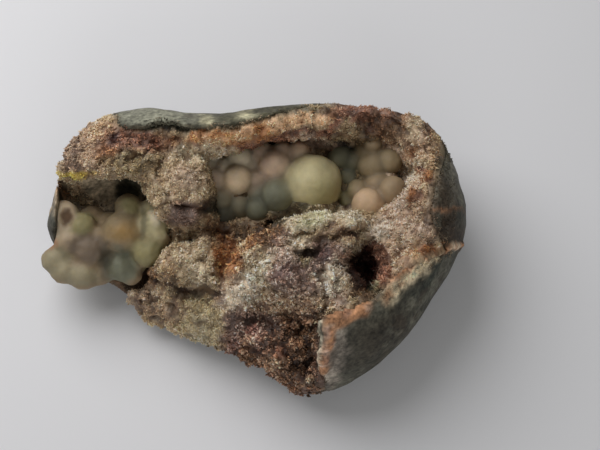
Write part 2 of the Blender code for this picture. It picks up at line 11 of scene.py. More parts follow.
import bmesh
import bpy
import numpy as np
from bpy.props import FloatProperty, FloatVectorProperty, PointerProperty
from bpy.types import Operator, Panel, PropertyGroup
from mathutils import Matrix, Vector
from mathutils.bvhtree import BVHTree


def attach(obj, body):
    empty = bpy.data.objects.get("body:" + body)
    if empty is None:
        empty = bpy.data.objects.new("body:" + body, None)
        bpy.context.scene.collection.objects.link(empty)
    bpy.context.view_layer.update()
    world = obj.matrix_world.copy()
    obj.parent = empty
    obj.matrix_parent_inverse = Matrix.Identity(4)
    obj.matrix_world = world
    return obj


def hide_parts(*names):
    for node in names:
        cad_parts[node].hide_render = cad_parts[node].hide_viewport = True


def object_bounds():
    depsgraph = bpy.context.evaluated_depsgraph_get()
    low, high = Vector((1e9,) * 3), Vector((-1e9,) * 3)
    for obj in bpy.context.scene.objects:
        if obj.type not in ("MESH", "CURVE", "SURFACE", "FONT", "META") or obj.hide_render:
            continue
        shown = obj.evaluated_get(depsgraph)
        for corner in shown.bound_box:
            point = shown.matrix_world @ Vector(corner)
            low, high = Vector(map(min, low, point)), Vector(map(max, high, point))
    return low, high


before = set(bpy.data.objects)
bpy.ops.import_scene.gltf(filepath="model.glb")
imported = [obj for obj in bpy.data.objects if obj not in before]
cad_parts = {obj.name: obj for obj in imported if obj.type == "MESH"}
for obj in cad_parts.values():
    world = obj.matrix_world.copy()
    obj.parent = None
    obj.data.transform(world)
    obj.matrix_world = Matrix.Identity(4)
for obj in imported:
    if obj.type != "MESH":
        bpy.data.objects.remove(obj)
CAD_LOW, CAD_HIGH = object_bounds()

bl_info = {
    "name": "Aragonite specimen",
    "version": (1, 0, 0),
    "blender": (4, 5, 0),
    "location": "3D Viewport > Sidebar > Specimen",
    "description": "Dresses an aragonite specimen: worn pebble, crystal crust and waxy globes",
    "category": "Object",
}

MM = 0.001
BODY = "root"
COLOUR = "colour"

# The camera: what it looks at, how far off it is, its height angle and the way towards it.
VIEW_TARGET = (7.8, 2.8, 15.4)
VIEW_DISTANCE = 301.9
VIEW_ANGLE = math.radians(70)
TO_CAMERA = np.array((0, -math.cos(VIEW_ANGLE), math.sin(VIEW_ANGLE)))
VIEW_LENS = 110
SENSOR_WIDTH = 36

# The stage. The floor's half size is in metres. Each lamp has a name, a place, a size and a power.
FLOOR_HALF_SIZE = 1.5
FLOOR_COLOUR = (0.80, 0.795, 0.82, 1)
FLOOR_ROUGHNESS = 0.9
SKY_COLOUR = (0.99, 1.0, 0.96, 1)
SKY_STRENGTH = 0.195
LAMPS = (
    ("window", (-115, 125, 215), 270, 0.57),
    ("front", (30, -300, 150), 260, 0.22),
)


# Colours of patches on the broken face


class Patch(NamedTuple):
    """An oval in the camera's view: its colour, if any, its place, half sizes, turn and soft edge."""

    colour: str | None
    across: float
    up: float
    half_width: float
    half_height: float
    turn: float = 0
    soft: float = 0.35
    strength: float = 1

    def weight(self, across, up):
        """How much a place belongs to the patch, from 0 to its strength."""
        cos, sin = math.cos(math.radians(self.turn)), math.sin(math.radians(self.turn))
        x, y = across - self.across, up - self.up
        radius = np.hypot((x * cos + y * sin) / self.half_width, (y * cos - x * sin) / self.half_height)
        return self.strength * smooth((1 + self.soft - radius) / (2 * self.soft))


class Band(NamedTuple):
    """A stripe of one colour along a line through points across and up."""

    colour: str
    line: tuple
    half_width: float
    soft: float = 0.35
    strength: float = 1

    def weight(self, across, up):
        """How much a place belongs to the stripe, from 0 to its strength."""
        nearest = np.full(len(across), np.inf)
        for (ax, ay), (bx, by) in zip(self.line, self.line[1:]):
            ex, ey = bx - ax, by - ay
            t = np.clip(((across - ax) * ex + (up - ay) * ey) / (ex * ex + ey * ey), 0, 1)
            nearest = np.minimum(nearest, np.hypot(across - ax - t * ex, up - ay - t * ey))
        return self.strength * smooth((1 + self.soft - nearest / self.half_width) / (2 * self.soft))


# The dark pit beside the hump; its darkness is painted shade.
PIT = Patch("black_brown_shade", 18.8, -6.8, 2.8, 4.3, -14, 0.18)

CRUST_PATCHES = (
    # The hollow and its floor.
    Patch("olive_brown", 2, 8, 11, 5.6),
    Patch("olive_brown", 18, 9, 6, 7),
    Patch("grey_green", 6, 5.5, 5, 4),
    # Painted shade in the black gaps and holes round the globes.
    Patch("black_green_shade", -5.6, 3, 3.4, 1.8),
    Patch("black_green_shade", 13, 3, 1.6, 1.2),
    Patch("black_green_shade", 15, 12.2, 2.2, 2.2),
    # The ledge at the left end.
    Patch("dusty", -27.6, 13, 5, 5),
    Patch("pinkish", -26, 12.2, 2.2, 3, 0, 0.8, 0.7),
    Patch("peach", -25.2, 15.8, 2.8, 1.3, 20, 0.7, 0.4),
    Patch("red_brown_and_shade", -19.4, 13.9, 5.4, 2.4, -4),
    Patch("olive_beige", -20, 10.4, 4.4, 2.2, 0, 0.5, 0.8),
    Patch("olive_brown", -17.8, 9.2, 2.2, 1.6, 0, 0.6, 0.8),
    Patch("rust", -23.6, 12.2, 2, 0.9, 10, 0.6, 0.7),
    Patch("black_brown_shade", -23.2, 14.7, 0.9, 0.9),
    # Painted shade in the dark crevice under the far skin's edge.
    Patch("black_green_shade", -13.6, 16.6, 4.6, 1.2, -4),
    Patch("rust", -13.2, 13.8, 1.6, 0.9, -10, 0.6, 0.8),
    Patch("yellow", -29.4, 8.4, 3, 0.5, 0, 0.5),
    # The tongue beside it.
    Patch("beige", -12, 7.4, 5.4, 5.4),
    Patch("pale_pink", -11.2, 7.6, 2.4, 2.2, 0, 0.8, 0.7),
    Patch("cream", -10.8, 11.6, 2.4, 1.2, 0, 0.6, 0.7),
    Patch("purple_grey", -11.4, 1.3, 3, 2.6),
    Patch("orange", -7.7, 14.1, 2.6, 1, 0, 0.5),
    # The far wall.
    # A red-brown line under the orange band: painted shadow of the far wall's lip.
    Band("red_brown_and_shade", ((-9, 13.2), (1, 13), (5, 14.4), (11, 14.8), (14, 16.4)), 1),
    Band("orange", ((-9, 14.4), (-3, 14.8), (1.2, 15.2), (6, 16.6)), 1.1),
    Band("peach", ((-8.6, 14), (-4, 14.3), (0.6, 14.9)), 0.5, 0.8, 0.35),
    Band("peach", ((3.5, 16.2), (8, 17.2), (12.7, 18.4)), 1.2),
    Patch("peach", -1.5, 15.4, 1.6, 0.9, 0, 0.6, 0.8),
    Patch("pale_pink", 8.6, 13.2, 4.2, 1.3, 8),
    Patch("pale_pink", 8.6, 12.4, 4.6, 1.2, 6, 0.6, 0.9),
    Patch("cream", -6.4, 11.8, 3.2, 1.9, 0, 0.5, 0.9),
    # Painted shade in the recess at the far wall's right end.
    Patch("dark_brown_and_shade", 17.6, 15.2, 3, 1.5, 0, 0.6, 0.7),
    Band("grey_green", ((3.5, 18.4), (8, 19), (13, 19.3)), 0.6, 0.6, 0.9),
    Patch("red_brown_and_shade", 19, 18, 6.4, 1.8, -6),
    Patch("pale_pink", 22.6, 17.9, 2.6, 0.9, -8),
    Patch("beige", 15.8, 15.2, 2.2, 1.2, 0, 0.6, 0.8),
    # Painted shade in the same recess.
    Patch("black_brown_shade", 19.5, 16.6, 0.9, 1.8),
    Patch("red_brown_and_shade", 22.8, 16.6, 3.2, 3.2, 0, 0.4, 0.9),
    # Painted shade in the same recess.
    Patch("dark_brown_and_shade", 23.8, 15.4, 2, 2.8),
    Band("grey_green", ((29, 16.4), (31.2, 12.8), (32.8, 8), (33.4, 4)), 1.1, 0.5),
    # A painted shadow in the crevice between the top rim and the right rim.
    Patch("black_brown_shade", 25.4, 15.4, 0.5, 2.6, -10),
    # The right wall.
    Patch("pinkish", 25.6, 7, 4.6, 10),
    Patch("pale_pink", 24.4, 6, 2.6, 6.4, 0, 0.7, 0.9),
    # Painted shade in the same recess, from the right wall's side.
    Patch("dark_brown_and_shade", 22.6, 16.2, 3.6, 2, -8, 0.5, 0.7),
    Patch("cream", 26.5, 15.7, 1.1, 2.2, 8, 0.6, 0.5),
    Patch("red_brown_and_shade", 28.5, 15.4, 1.4, 2.2, -15, 0.6, 0.6),
    Patch("peach", 29.9, 12, 1, 2.6, -8, 0.7, 0.6),
    Patch("rust", 26, 11.7, 1.3, 1.4, 0, 0.6, 0.7),
    Patch("cream", 27.5, 10.4, 1.2, 0.8, 0, 0.7, 0.7),
    Patch("cream", 24.8, 8.8, 2.4, 1.6, 0, 0.7, 0.6),
    Patch("red_brown_and_shade", 27.6, 9.2, 1, 0.8),
    Patch("orange", 28.8, 7.6, 1, 1.2),
    Patch("rust", 26, 5, 0.8, 1.4),
    Patch("red_brown_and_shade", 27.8, 4.2, 1.6, 1.2, 0, 0.6, 0.7),
    Patch("pinkish", 27.4, 1.5, 1.9, 1.7, 0, 0.8, 0.6),
    Patch("grey_brown", 29.4, 0.8, 1.9, 3.6, 0, 0.8, 0.9),
    Patch("dark_brown_and_shade", 29, -0.6, 2, 2.3, 0, 0.7, 0.65),
    Patch("grey_green", 30.2, 7.4, 1.2, 3.4, 0, 0.8, 0.6),
    # Painted shade in a dark crevice of the right wall.
    Patch("dark_brown_and_shade", 22.9, 9.7, 2, 0.7, 12),
    Patch("pale_pink", 24.6, -0.6, 4.8, 1.7, -6, 0.35, 0.75),
    Band("peach", ((31, -3.4), (27, -4.6), (24, -6.8), (21.2, -9.8)), 0.8, 0.6, 0.8),
    Band("orange", ((32, -3.2), (28.4, -3.9), (25.4, -5), (23.2, -7.2)), 0.5, 0.6, 0.85),
    Patch("rust", 29.4, -3.6, 2, 0.8, -20),
    # Between the hollow and the hump.
    Patch("dark_brown_and_shade", -2.5, -1, 7.4, 1.9, 0, 0.35, 0.75),
    Patch("grey_brown", -11.6, -1.6, 3.4, 1.4, 0, 0.6, 0.8),
    Patch("rust", 0.6, -2.4, 2.6, 1.1, 25, 0.6, 0.8),
    Patch("beige", -12.4, -2, 3.2, 1.8, 0, 0.6, 0.7),
    Patch("rust", -4.2, -5.6, 2.7, 4, 10),
    Patch("orange", -3.9, -6.2, 1.5, 2, 10, 0.8, 0.5),
    Patch("beige", -10.6, -7.2, 4.4, 3.4),
    Patch("cream", -8.9, -7, 2, 2.4, 0, 0.8),
    # The brown hollow at the foot, darkened with painted shadow.
    Patch("dark_brown_and_shade", -17.2, -9.4, 2.4, 3.4, 0, 0.4),
    Patch("grey_brown", -18.2, -11.6, 4.2, 2.4),
    Patch("grey_brown", -14.6, -13.8, 3.6, 2, -20, 0.6, 0.8),
    Patch("beige", -13.6, -10.8, 1.8, 2, 0, 0.6, 0.8),
    Patch("black_green_shade", -11.4, -10.9, 2.8, 1.2, -10, 0.6, 0.7),
    Patch("dark_brown_and_shade", -13.4, -8.4, 0.9, 1.8, 20, 0.6, 0.6),
    Patch("purple_grey", -5.4, -11.9, 1, 1.9),
    Patch("olive_beige", -8.3, -16.2, 3.7, 4.8),
    Patch("cream", -8.6, -17.6, 2.4, 2.6, 0, 0.9, 0.5),
    # The hump.
    Patch("purple_grey", 7.4, -6.5, 5.6, 4.8),
    Band("cream", ((-2.6, -13.4), (-0.6, -9.2), (4, -5.4), (8, -1.9)), 1.5, 0.6),
    Patch("dark_brown_and_shade", 3.2, -1.4, 2.5, 1.7, 30, 0.5, 0.9),
    Patch("black_green_shade", 4, 0.7, 1.6, 1, 20, 0.5, 0.9),
    Patch("white", -1.9, -11.5, 2.8, 3.2, 0, 0.6, 0.9),
    Band("cream", ((6.6, 0.2), (9, 1.3), (12.4, 2), (16.2, 1.2)), 1.5, 0.5),
    Patch("pale_green", 10.2, 1.3, 2.6, 1.3, 8, 0.6),
    Patch("dark_brown_and_shade", 10.6, -1.9, 2, 0.8, 0, 0.6, 0.6),
    Patch("black_brown_shade", 12.9, -0.3, 0.9, 0.7, 0, 0.6, 0.7),
    Patch("black_brown_shade", 14.6, -1.3, 0.9, 0.8, 0, 0.6, 0.8),
    Patch("black_brown_shade", 16.2, -2, 0.8, 0.7, 0, 0.6, 0.8),
    Patch("dark_brown_and_shade", 13.2, -2.6, 1.2, 0.7, 0, 0.6, 0.8),
    Patch("purple_grey", 13.6, -4.6, 2.4, 1.7, 0, 0.5, 0.9),
    Patch("red_brown_and_shade", 14.7, -6, 0.9, 1.5, 0, 0.7, 0.8),
    Patch("white", 21.4, -1.3, 3, 1.3, -6, 0.6, 0.6),
    Patch("grey_green", 8.4, -5, 1.6, 1.5),
    Patch("purple_grey", 11.8, -6, 2.4, 1.8, 0, 0.5, 0.9),
    Patch("black_green_shade", 9.4, -4.8, 1.7, 1.1, -10, 0.7, 0.7),
    Patch("mauve", 4.8, -5.4, 1.9, 3.4, -10, 0.8, 0.7),
    Patch("mauve", 11.4, -4, 1.4, 1.2, 0, 0.8, 0.6),
    Patch("purple_grey", 8.6, -10.8, 4.6, 2, 0, 0.6, 0.7),
    Patch("white", 10.3, -8.5, 1.1, 0.7, 0, 0.6),
    Patch("white", 13.2, -9.8, 1.9, 3.5, -10, 0.6, 0.9),
    Patch("pale_pink", 14, -12.4, 1.7, 1.5),
    Patch("dark_brown_and_shade", 17.8, -11.2, 2.2, 1.6, 0, 0.6, 0.85),
    # The pit, with painted shade in and round it, and what radiates beside it.
    PIT,
    Patch("black_brown_shade", 20.6, -7.6, 1.5, 1.8, 0, 0.3),
    Patch("maroon", 17, -8.6, 1.3, 2.2, 0, 0.7, 0.5),
    Patch("grey_green", 20.2, -10.2, 1.2, 1.1),
    Patch("pinkish", 23.6, -4.8, 2.7, 3.8, 0, 0.5),
    Patch("black_brown_shade", 20.3, -6.4, 1.4, 2.8, -10, 0.3),
    Patch("black_brown_shade", 16.5, -6.8, 1.3, 1.6, 0, 0.5, 0.8),
    Band("red_brown_and_shade", ((20.8, -3.6), (22, -6.4), (21.4, -9)), 0.8, 0.6, 0.9),
    # The lower mass.
    Patch("maroon", 4.6, -21.2, 9.8, 9.5, 0, 0.2),
    Patch("dark_brown_and_shade", 6.4, -19.6, 3.2, 5, 0, 0.8, 0.5),
    Patch("mauve", -2, -17.4, 2.8, 3.4, 0, 0.6, 0.5),
    Patch("purple_grey", -2.4, -16.4, 2, 2.2, 0, 0.4, 0.8),
    Patch("purple_grey", 0.2, -15.4, 4.2, 2, 0, 0.5, 0.8),
    Patch("pinkish", 4.2, -13.8, 3, 1.3, 0, 0.6, 0.6),
    Patch("pale_pink", 7, -15.8, 0.9, 0.7, 0, 0.8, 0.5),
    Patch("rust", 6.6, -16, 1.8, 1.4, 0, 0.8, 0.25),
    Patch("peach", -0.9, -19.4, 1.1, 0.9, 0, 0.8, 0.4),
    Patch("red", -0.3, -17.6, 1.2, 0.7, 20, 0.8, 0.2),
    Patch("red", 4, -21.2, 0.8, 0.6, 0, 0.8, 0.2),
    Patch("pinkish", 4.6, -13, 5, 1.5, 0, 0.6, 0.5),
    Patch("dark_brown_and_shade", 5.6, -24.6, 6.4, 2.8, -28, 0.5, 0.45),
    Patch("dark_brown_and_shade", 9.2, -18.4, 1.8, 3.6, 0, 0.8, 0.8),
    Patch("grey_brown", 3.4, -22.4, 1.5, 0.9, -20, 0.8, 0.5),
    Patch("dark_brown_and_shade", -0.6, -21.6, 1.9, 0.9, -35, 0.8, 0.8),
    Patch("grey_brown", 8.9, -25.8, 1.2, 0.7, 0, 0.8, 0.5),
)

# The streaky whitish skin beside the seam.
WHITISH = Patch("whitish", 13.6, -20.6, 1.8, 6.8, -8, 0.5)
# Deep crevices between the crust's lumps, cut in and darkened with painted shade.
CREVICES = (
    Band("black_green_shade", ((-15.4, -9), (-12, -10.4), (-8.8, -10.2), (-6.4, -11.6)), 0.7, 0.6),
    Band("black_green_shade", ((-12.2, -11), (-12.8, -14.5), (-10.8, -18.6)), 0.6, 0.6),
    Band("dark_brown_and_shade", ((-17.2, -12.6), (-15, -14.2), (-13, -16.6)), 0.5, 0.6),
    Band("dark_brown_and_shade", ((-5.2, -8.4), (-4.8, -12), (-3.2, -14.8)), 0.45, 0.6, 0.8),
    Band("black_brown_shade", ((6.8, -4.2), (8.8, -5.4), (10.6, -4.4)), 0.6, 0.9, 0.7),
    Band("dark_brown_and_shade", ((12, -5.5), (11.4, -8.6), (12.2, -12), (11, -14.8)), 0.5, 0.6),
    Band("dark_brown_and_shade", ((-1.6, -15), (2.5, -16.6), (6.5, -15.4), (9, -17.2)), 0.5, 0.6, 0.6),
    Band("black_brown_shade", ((3.4, -17), (4.4, -20), (7.6, -23.5)), 0.5, 0.6),
    Band("black_brown_shade", ((-2.6, -20), (1.5, -20.8), (4.4, -20)), 0.45, 0.6),
    Band("black_brown_shade", ((8.8, -19), (9.7, -22), (8.6, -25)), 0.5, 0.6),
    Band("dark_brown_and_shade", ((-15.6, 2.6), (-12.6, 3.6), (-9, 2.6), (-7.6, 4)), 0.5, 0.6),
    Band("dark_brown_and_shade", ((-21.6, 10.6), (-18.4, 11.6), (-15.6, 12.6)), 0.4, 0.6, 0.8),
    Band("dark_brown_and_shade", ((-15.4, 7), (-15.6, 10), (-13.6, 12.6)), 0.4, 0.6, 0.8),
)

# The stretch of the hump's crest that lies lower than its solid, and how far it is moved.
HUMP_CREST = Patch(None, 5.5, 3, 13, 4.6, 0, 0.7)
CREST_DROP = (0, -1.9, -1.6)


class Shift(NamedTuple):
    """A stretch of the crust, from a height upwards, that lies further out or in than its solid."""

    place: Patch
    lowest: float
    towards_camera: float
    back: float = 0


CRUST_SHIFTS = (
    Shift(PIT, 15, -1.6),
    # Beside the pit, and over the gap below the tongue.
    Shift(Patch(None, 16, -3.6, 2.2, 2.4, 0, 0.4), 8, 2.6),
    Shift(Patch(None, -11.4, -1.5, 4.2, 1.5, 0, 0.5), 5, 1.8),
    # Behind the big globe.
    Shift(Patch(None, 8.8, 12.6, 4.4, 1.4, 0, 0.5), 5, 1.4),
    # The ledge's edge over the recess.
    Shift(Patch(None, -21.4, 6.8, 4.6, 1.7, 0, 0.5), 14, 0, 1.3),
)

# The pale rind between the seam's thin end and the worn skin.
RIND = Band("rind", ((30, -4.8), (26.9, -7), (24.1, -9.8), (22.2, -11.8)), 1.3, 0.6)
# The pebble's edge between the end cluster and the foot, grown over with crystals.
FOOT_EDGE = Patch("dark_brown_and_shade", -19.8, -9.4, 4.4, 3.4, -30, 0.3)
# The right end's edge, where thin grains reach further over the skin.
RIGHT_EDGE = Band("edge_brown", ((28.6, 14.6), (31, 10), (31.6, 4), (31.2, -0.6)), 2, 0.6)

SKIN_PATCHES = (
    # The recess at the left end and the worn skin round it.
    Patch("beige", -26, 5, 8.4, 3.6, 0, 0.4, 0.9),
    Patch("orange", -30.4, 6.4, 1.8, 1.6, 0, 0.6),
    Patch("black_green_shade", -20.6, 6, 2.4, 2.2),
    # The far skin.
    Patch("skin_pale", -14, 18, 7, 2.2, 0, 0.8),
    Patch("skin_olive", 2, 19, 12, 2.4, 0, 0.8),
    Patch("skin_cream", -1.1, 18.2, 1.6, 1.1, 0, 0.6, 0.8),
    Patch("skin_cream", -7.5, 17, 0.9, 0.9, 0, 0.6, 0.8),
    # The right end.
    RIGHT_EDGE,
    Patch("skin_light_and_sheen", 32.4, 9, 1.3, 5, 14, 0.7, 0.8),
    Patch("skin_brown", 31.6, -1, 3, 2.4),
    Patch("rust", 32.2, 2.4, 2.8, 0.4, -4, 0.6, 0.6),
    Patch("skin_brown", 31.8, 5.4, 1.6, 1.6, 0, 0.8, 0.7),
    FOOT_EDGE,
    # The flank below the seam.
    WHITISH,
    RIND,
    Patch("rust", 24.6, -9.6, 0.7, 0.5, 30, 0.8, 0.7),
    Patch("dark_brown_and_shade", 22, -11.6, 0.9, 0.5, 30, 0.8, 0.7),
    Patch("red_brown_and_shade", 28.6, -4.4, 0.9, 0.5, 20, 0.8, 0.8),
    Patch("dark_brown_and_shade", 19.2, -11.9, 1.8, 1.2, 30, 0.4),
    Patch("orange", 22.4, -11.6, 1.4, 0.7, 40, 0.6, 0.7),
    Patch("skin_light_and_sheen", 19.4, -14.6, 3.4, 1.9, 30, 0.8, 0.7),
    Band("skin_dark", ((30.6, -7), (28.9, -9.2), (27.2, -11.6)), 0.9, 0.4),
    # A painted highlight along the smooth grey stripe.
    Band("skin_light_and_sheen", ((32.2, -6.2), (29.3, -10.3), (25.7, -13.6)), 0.5, 0.5, 0.5),
    Patch("skin_brown", 20.4, -18.6, 5.6, 3.4, 40, 0.9, 0.5),
)

# The orange seam along the break: thin at the right end, wide and lobed down the front.
SEAM_BANDS = (
    Band("seam", ((34, -3.4), (29.4, -4.6), (26.6, -6.2), (24, -8.4), (21.6, -10.4)), 0.6, 0.6),
    Band("seam", ((17.8, -13.4), (15.4, -14.4), (13.4, -15.4)), 1.8, 0.35),
    Band("seam", ((12.4, -16), (12.6, -19.2), (11.8, -21), (11.8, -24)), 0.85, 0.5),
)
# Its bright edge over the break.
SEAM_EDGE = Band(
    "cream",
    ((15, -12.5), (11.4, -14.7), (10.7, -17), (11.2, -19.2), (10.7, -21), (10.6, -24)),
    0.28,
    0.6,
    0.7,
)
# Colours that the seam takes by turns: their names, the sizes and seeds of their stretches, their shares.
SEAM_TURNS = (
    ("cream", 2.6, 81, 0.55),
    ("red_brown_and_shade", 1.5, 82, 0.6),
    ("orange", 2.1, 83, 0.6),
    ("pale_pink", 1.3, 84, 0.35),
)

# The small brown hollow in the end cluster's far lobe.
RING_HOLLOW = Patch("dark_brown_and_shade", -30.7, 1.4, 1, 1.2, 0, 0.5)

CLUSTER_PATCHES = (
    Patch("beige", -31, 0.8, 2.8, 3, 0, 0.6),
    Patch("globe_green_and_shade", -28, 0.2, 1.9, 1.9),
    Patch("globe_pink", -27.2, -3.8, 3.2, 2.4),
    Patch("globe_pale", -32.4, -6, 2.4, 2.6),
    Patch("globe_pale", -28.4, -8.4, 3.2, 1.8),
    Patch("rust", -33.4, -2.8, 1.1, 0.9, 0, 0.8),
    RING_HOLLOW,
    Patch("globe_blue", -21.6, -6.9, 2.6, 3),
    Patch("globe_ochre", -21, 0.6, 3.4, 3.8),
    Patch("ochre", -21, -1.3, 2.2, 1.6, 0, 0.9),
    Patch("globe_green_and_shade", -20.2, 3.2, 1.6, 1.4),
    Patch("globe_yellow", -15.6, 0.8, 3.2, 3.4),
    Patch("cream", -16, 1.3, 0.9, 1.2, 0, 0.9),
    Patch("globe_green_and_shade", -17, -4.6, 3, 2.4),
    Patch("black_green_shade", -24.3, -6, 1, 2.4, 0, 0.7, 0.8),
    Patch("black_green_shade", -17.9, 0.6, 0.5, 2.6, 0, 0.7, 0.6),
)

# Lobes that the end cluster has beside those of its solid: x, y, z and radius. The first holds the
# small hollow.
END_LOBES = (
    (-31.5, 5.5, 12.4, 2.6),
    (-20.8, 6.9, 12.6, 2.4),
    (-17.2, 6.2, 12.4, 2.2),
)

# Painted shade on the big globe's darker, lower right side.
GLOBE_SHADE = Patch("globe_green_and_shade", 12.6, 5.2, 2.6, 2.8, 0, 0.9, 0.85)
# How far the hollow's globes are swollen, so that they melt together.
GLOBE_SWELL = 0.16

# The globes in the hollow, as the crust's solid holds them: x, y, z, radius and colour.
GLOBES = (
    (9.8, 10.75, 13.6, 4.9, "globe_yellow"),
    (-7.1, 15.85, 14.2, 1.6, "cream"),
    (-2.2, 15.05, 14.2, 2.1, "cream"),
    (-2.7, 11.15, 14, 2.6, "peach_grey"),
    (3.6, 14.05, 14, 2.9, "pinkish"),
    (4.1, 8.65, 13.6, 2.9, "globe_blue"),
    (0.8, 6.55, 12.8, 1.9, "globe_blue"),
    (-6.6, 11.65, 13.6, 2.1, "pale_pink"),
    (-5.2, 8.05, 13, 2, "grey_green"),
    (0.5, 11.25, 13.2, 2, "pinkish"),
    (14.6, 16.15, 12.4, 2, "globe_blue"),
    (16.9, 15.35, 12.2, 1.9, "globe_blue"),
    (19.7, 16.55, 13.2, 2.6, "globe_ochre"),
    (19.9, 17.15, 15.4, 1.5, "globe_beige"),
    (20.2, 13.95, 13.6, 2.6, "globe_ochre"),
    (17.5, 9.75, 13, 1.9, "globe_ochre"),
    (19.1, 6.75, 14.2, 2.7, "globe_peach"),
    (22.7, 14.35, 14.6, 2.1, "globe_ochre"),
    (16, 8.75, 11.8, 1.5, "globe_blue"),
    (20.9, 10.55, 13.2, 2.4, "globe_beige"),
    (23.1, 9.15, 14.4, 2.4, "globe_beige"),
    (15.9, 12.55, 11.2, 1.9, "globe_blue"),
    # Lumps that close the gaps and the hollow's far side behind them.
    (-0.6, 14.3, 13, 1.9, "cream"),
    (-4.9, 11.6, 13.4, 2, "peach_grey"),
    (1.6, 13, 12.8, 1.9, "pinkish"),
    (1.6, 15.9, 14.3, 1.9, "pinkish"),
    (4.6, 15.9, 14.6, 1.8, "pinkish"),
    (7.6, 16, 14.8, 1.7, "pinkish"),
    (-4.6, 13.4, 13.6, 1.9, "cream"),
    (-7.6, 13.6, 13.8, 1.7, "cream"),
    (-7.8, 9.6, 13.4, 1.9, "peach_grey"),
    (1.2, 9.2, 12.8, 2.1, "globe_blue"),
    (-2.4, 7.3, 12.4, 1.9, "grey_green"),
    # A black-green lump that stands for the shade in a gap.
    (-4.9, 5.4, 12.2, 1.7, "black_green_shade"),
)


class Sowing(NamedTuple):
    """Tufts of crystals sown over a stretch of the crust: where, how thickly, and their form."""

    across: float
    up: float
    tufts: float
    crystals: int
    length: float
    slenderness: float
    spread: float
    contrast: float


# Each tuft belongs to the sowing whose place is nearest. Tufts are counted per square millimetre.
SOWINGS = {
    "ledge_sugar": Sowing(-22.5, 12.5, 8, 5, 0.25, 1.7, 1, 0.26),
    "tongue_sugar": Sowing(-11.5, 7.5, 8, 5, 0.25, 2, 1, 0.22),
    "far_wall_sugar": Sowing(4, 15, 6, 5, 0.23, 1.7, 1, 0.18),
    "rim_sugar": Sowing(24, 15.5, 6, 6, 0.25, 2.2, 1, 0.28),
    "right_wall_sugar": Sowing(26.5, 6, 6, 8, 0.34, 3.2, 0.9, 0.30),
    "hollow_sugar": Sowing(4, 8, 4, 5, 0.24, 1.7, 1, 0.12),
    "valley_sugar": Sowing(-11, -7, 7, 6, 0.27, 1.8, 1, 0.30),
    "foot_sugar": Sowing(-10, -15.5, 7, 6, 0.26, 2, 1, 0.24),
    "crest_sugar": Sowing(9.5, 2.5, 8, 6, 0.25, 2, 1, 0.26),
    "hump_sugar": Sowing(5.5, -7, 7, 8, 0.29, 1.8, 1, 0.48),
    "spray_sugar": Sowing(20.5, -5, 5, 10, 0.42, 4.5, 0.9, 0.36),
    "lower_sugar": Sowing(3.5, -20.5, 7.5, 6, 0.36, 1.4, 1.2, 0.46),
}

# Crystals on the pebble's broken edge: how many to a square millimetre, their length, their half
# width as a share of it, and how far they lean.
EDGE_DENSITY = 8
EDGE_LENGTH = 0.34
EDGE_WIDTH = 0.35
EDGE_LEAN = 0.7
# The height that they grow from, and the height above which they grow on the far side too.
EDGE_LOWEST = 3
EDGE_ALL_ROUND = 12
# A crystal's painted light: painted shade, dark and warm, round its root, and painted light, whiter, at its
# tip.
CRYSTAL_PAINTED_LIGHT = np.array([(0.64, 0.57, 0.5)] * 3 + [(1.42, 1.43, 1.44)])

# The crust's form: the size of its knobs and of the grains on them, and how far the knobs, grains,
# small pits, fine crevices and drawn crevices stand out or in.
KNOB_SIZE = 2.7
GRAIN_SIZE = 1.25
KNOB_RELIEF = 1.35
GRAIN_RELIEF = 0.8
PIT_DEPTH = 0.6
CREVICE_DEPTH = 0.5
DRAWN_DEPTH = 0.9
# How light the crystals are, and how light the crust between them is beside that: darker, as painted shade
# among the crystals.
CRUST_LIGHT = 1.76
SHADE_BETWEEN_CRYSTALS = 0.52

# How near the rock the crust is rooted in it, and how deep.
ROOT_REACH = 1
ROOT_DEPTH = 0.12
# Where a globe, grown by this margin, covers the crust, the crust is moved by this much.
GLOBE_MARGIN = 0.3
UNDER_GLOBES = -0.25
# The height up to which the pebble is left flat.
FLAT_HEIGHT = 0.3
# Rounds that even out the facets of each form.
PEBBLE_ROUNDS = 24
CRUST_ROUNDS = 3
HOLLOW_GLOBE_ROUNDS = 9
END_GLOBE_ROUNDS = 18


# Fields over the surface


def smooth(t):
    """An even step from 0 to 1."""
    t = np.clip(t, 0, 1)
    return t * t * (3 - 2 * t)


def dice(cells, seed):
    """A repeatable number from 0 to 1 for each cell of a grid."""
    keys = (cells.astype(np.int64) * (73856093, 19349663, 83492791)).sum(-1) + seed * 40503
    keys = (keys ^ (keys >> 13)) * 1274126177 & 0x7FFFFFFF
    keys = (keys ^ (keys >> 15)) * 1911520717 & 0x7FFFFFFF
    return (keys ^ (keys >> 11)) % 100003 / 100003


def swell(points, size, seed=0):
    """Smooth noise from -1 to 1, with lumps of this size."""
    p = points / size
    cell = np.floor(p)
    t = smooth(p - cell)
    total = np.zeros(len(p))
    for corner in np.ndindex(2, 2, 2):
        weight = np.prod(np.where(corner, t, 1 - t), -1)
        total += weight * dice(cell + corner, seed)
    return 2 * total - 1


def layers(points, size, count, seed=0):
    """Smooth noise with finer and finer lumps on it."""
    total, strength = np.zeros(len(points)), 1.0
    for layer in range(count):
        total += strength * swell(points, size / 2**layer, seed + layer)
        strength *= 0.55
    return total


def knobs(points, size, seed=0):
    """Packed round knobs: 1 at a knob's middle and 0 in the creases, and a number for each knob."""
    p = points / size
    cell = np.floor(p)
    nearest = np.full(len(p), np.inf)
    owner = np.zeros(len(p))
    for step in np.ndindex(3, 3, 3):
        there = cell + step - 1
        middle = there + np.stack([dice(there, seed + axis) for axis in range(3)], -1)
        distance = ((middle - p) ** 2).sum(-1)
        closer = distance < nearest
        nearest = np.where(closer, distance, nearest)
        owner = np.where(closer, dice(there, seed + 7), owner)
    return np.clip(1 - nearest, 0, 1), owner


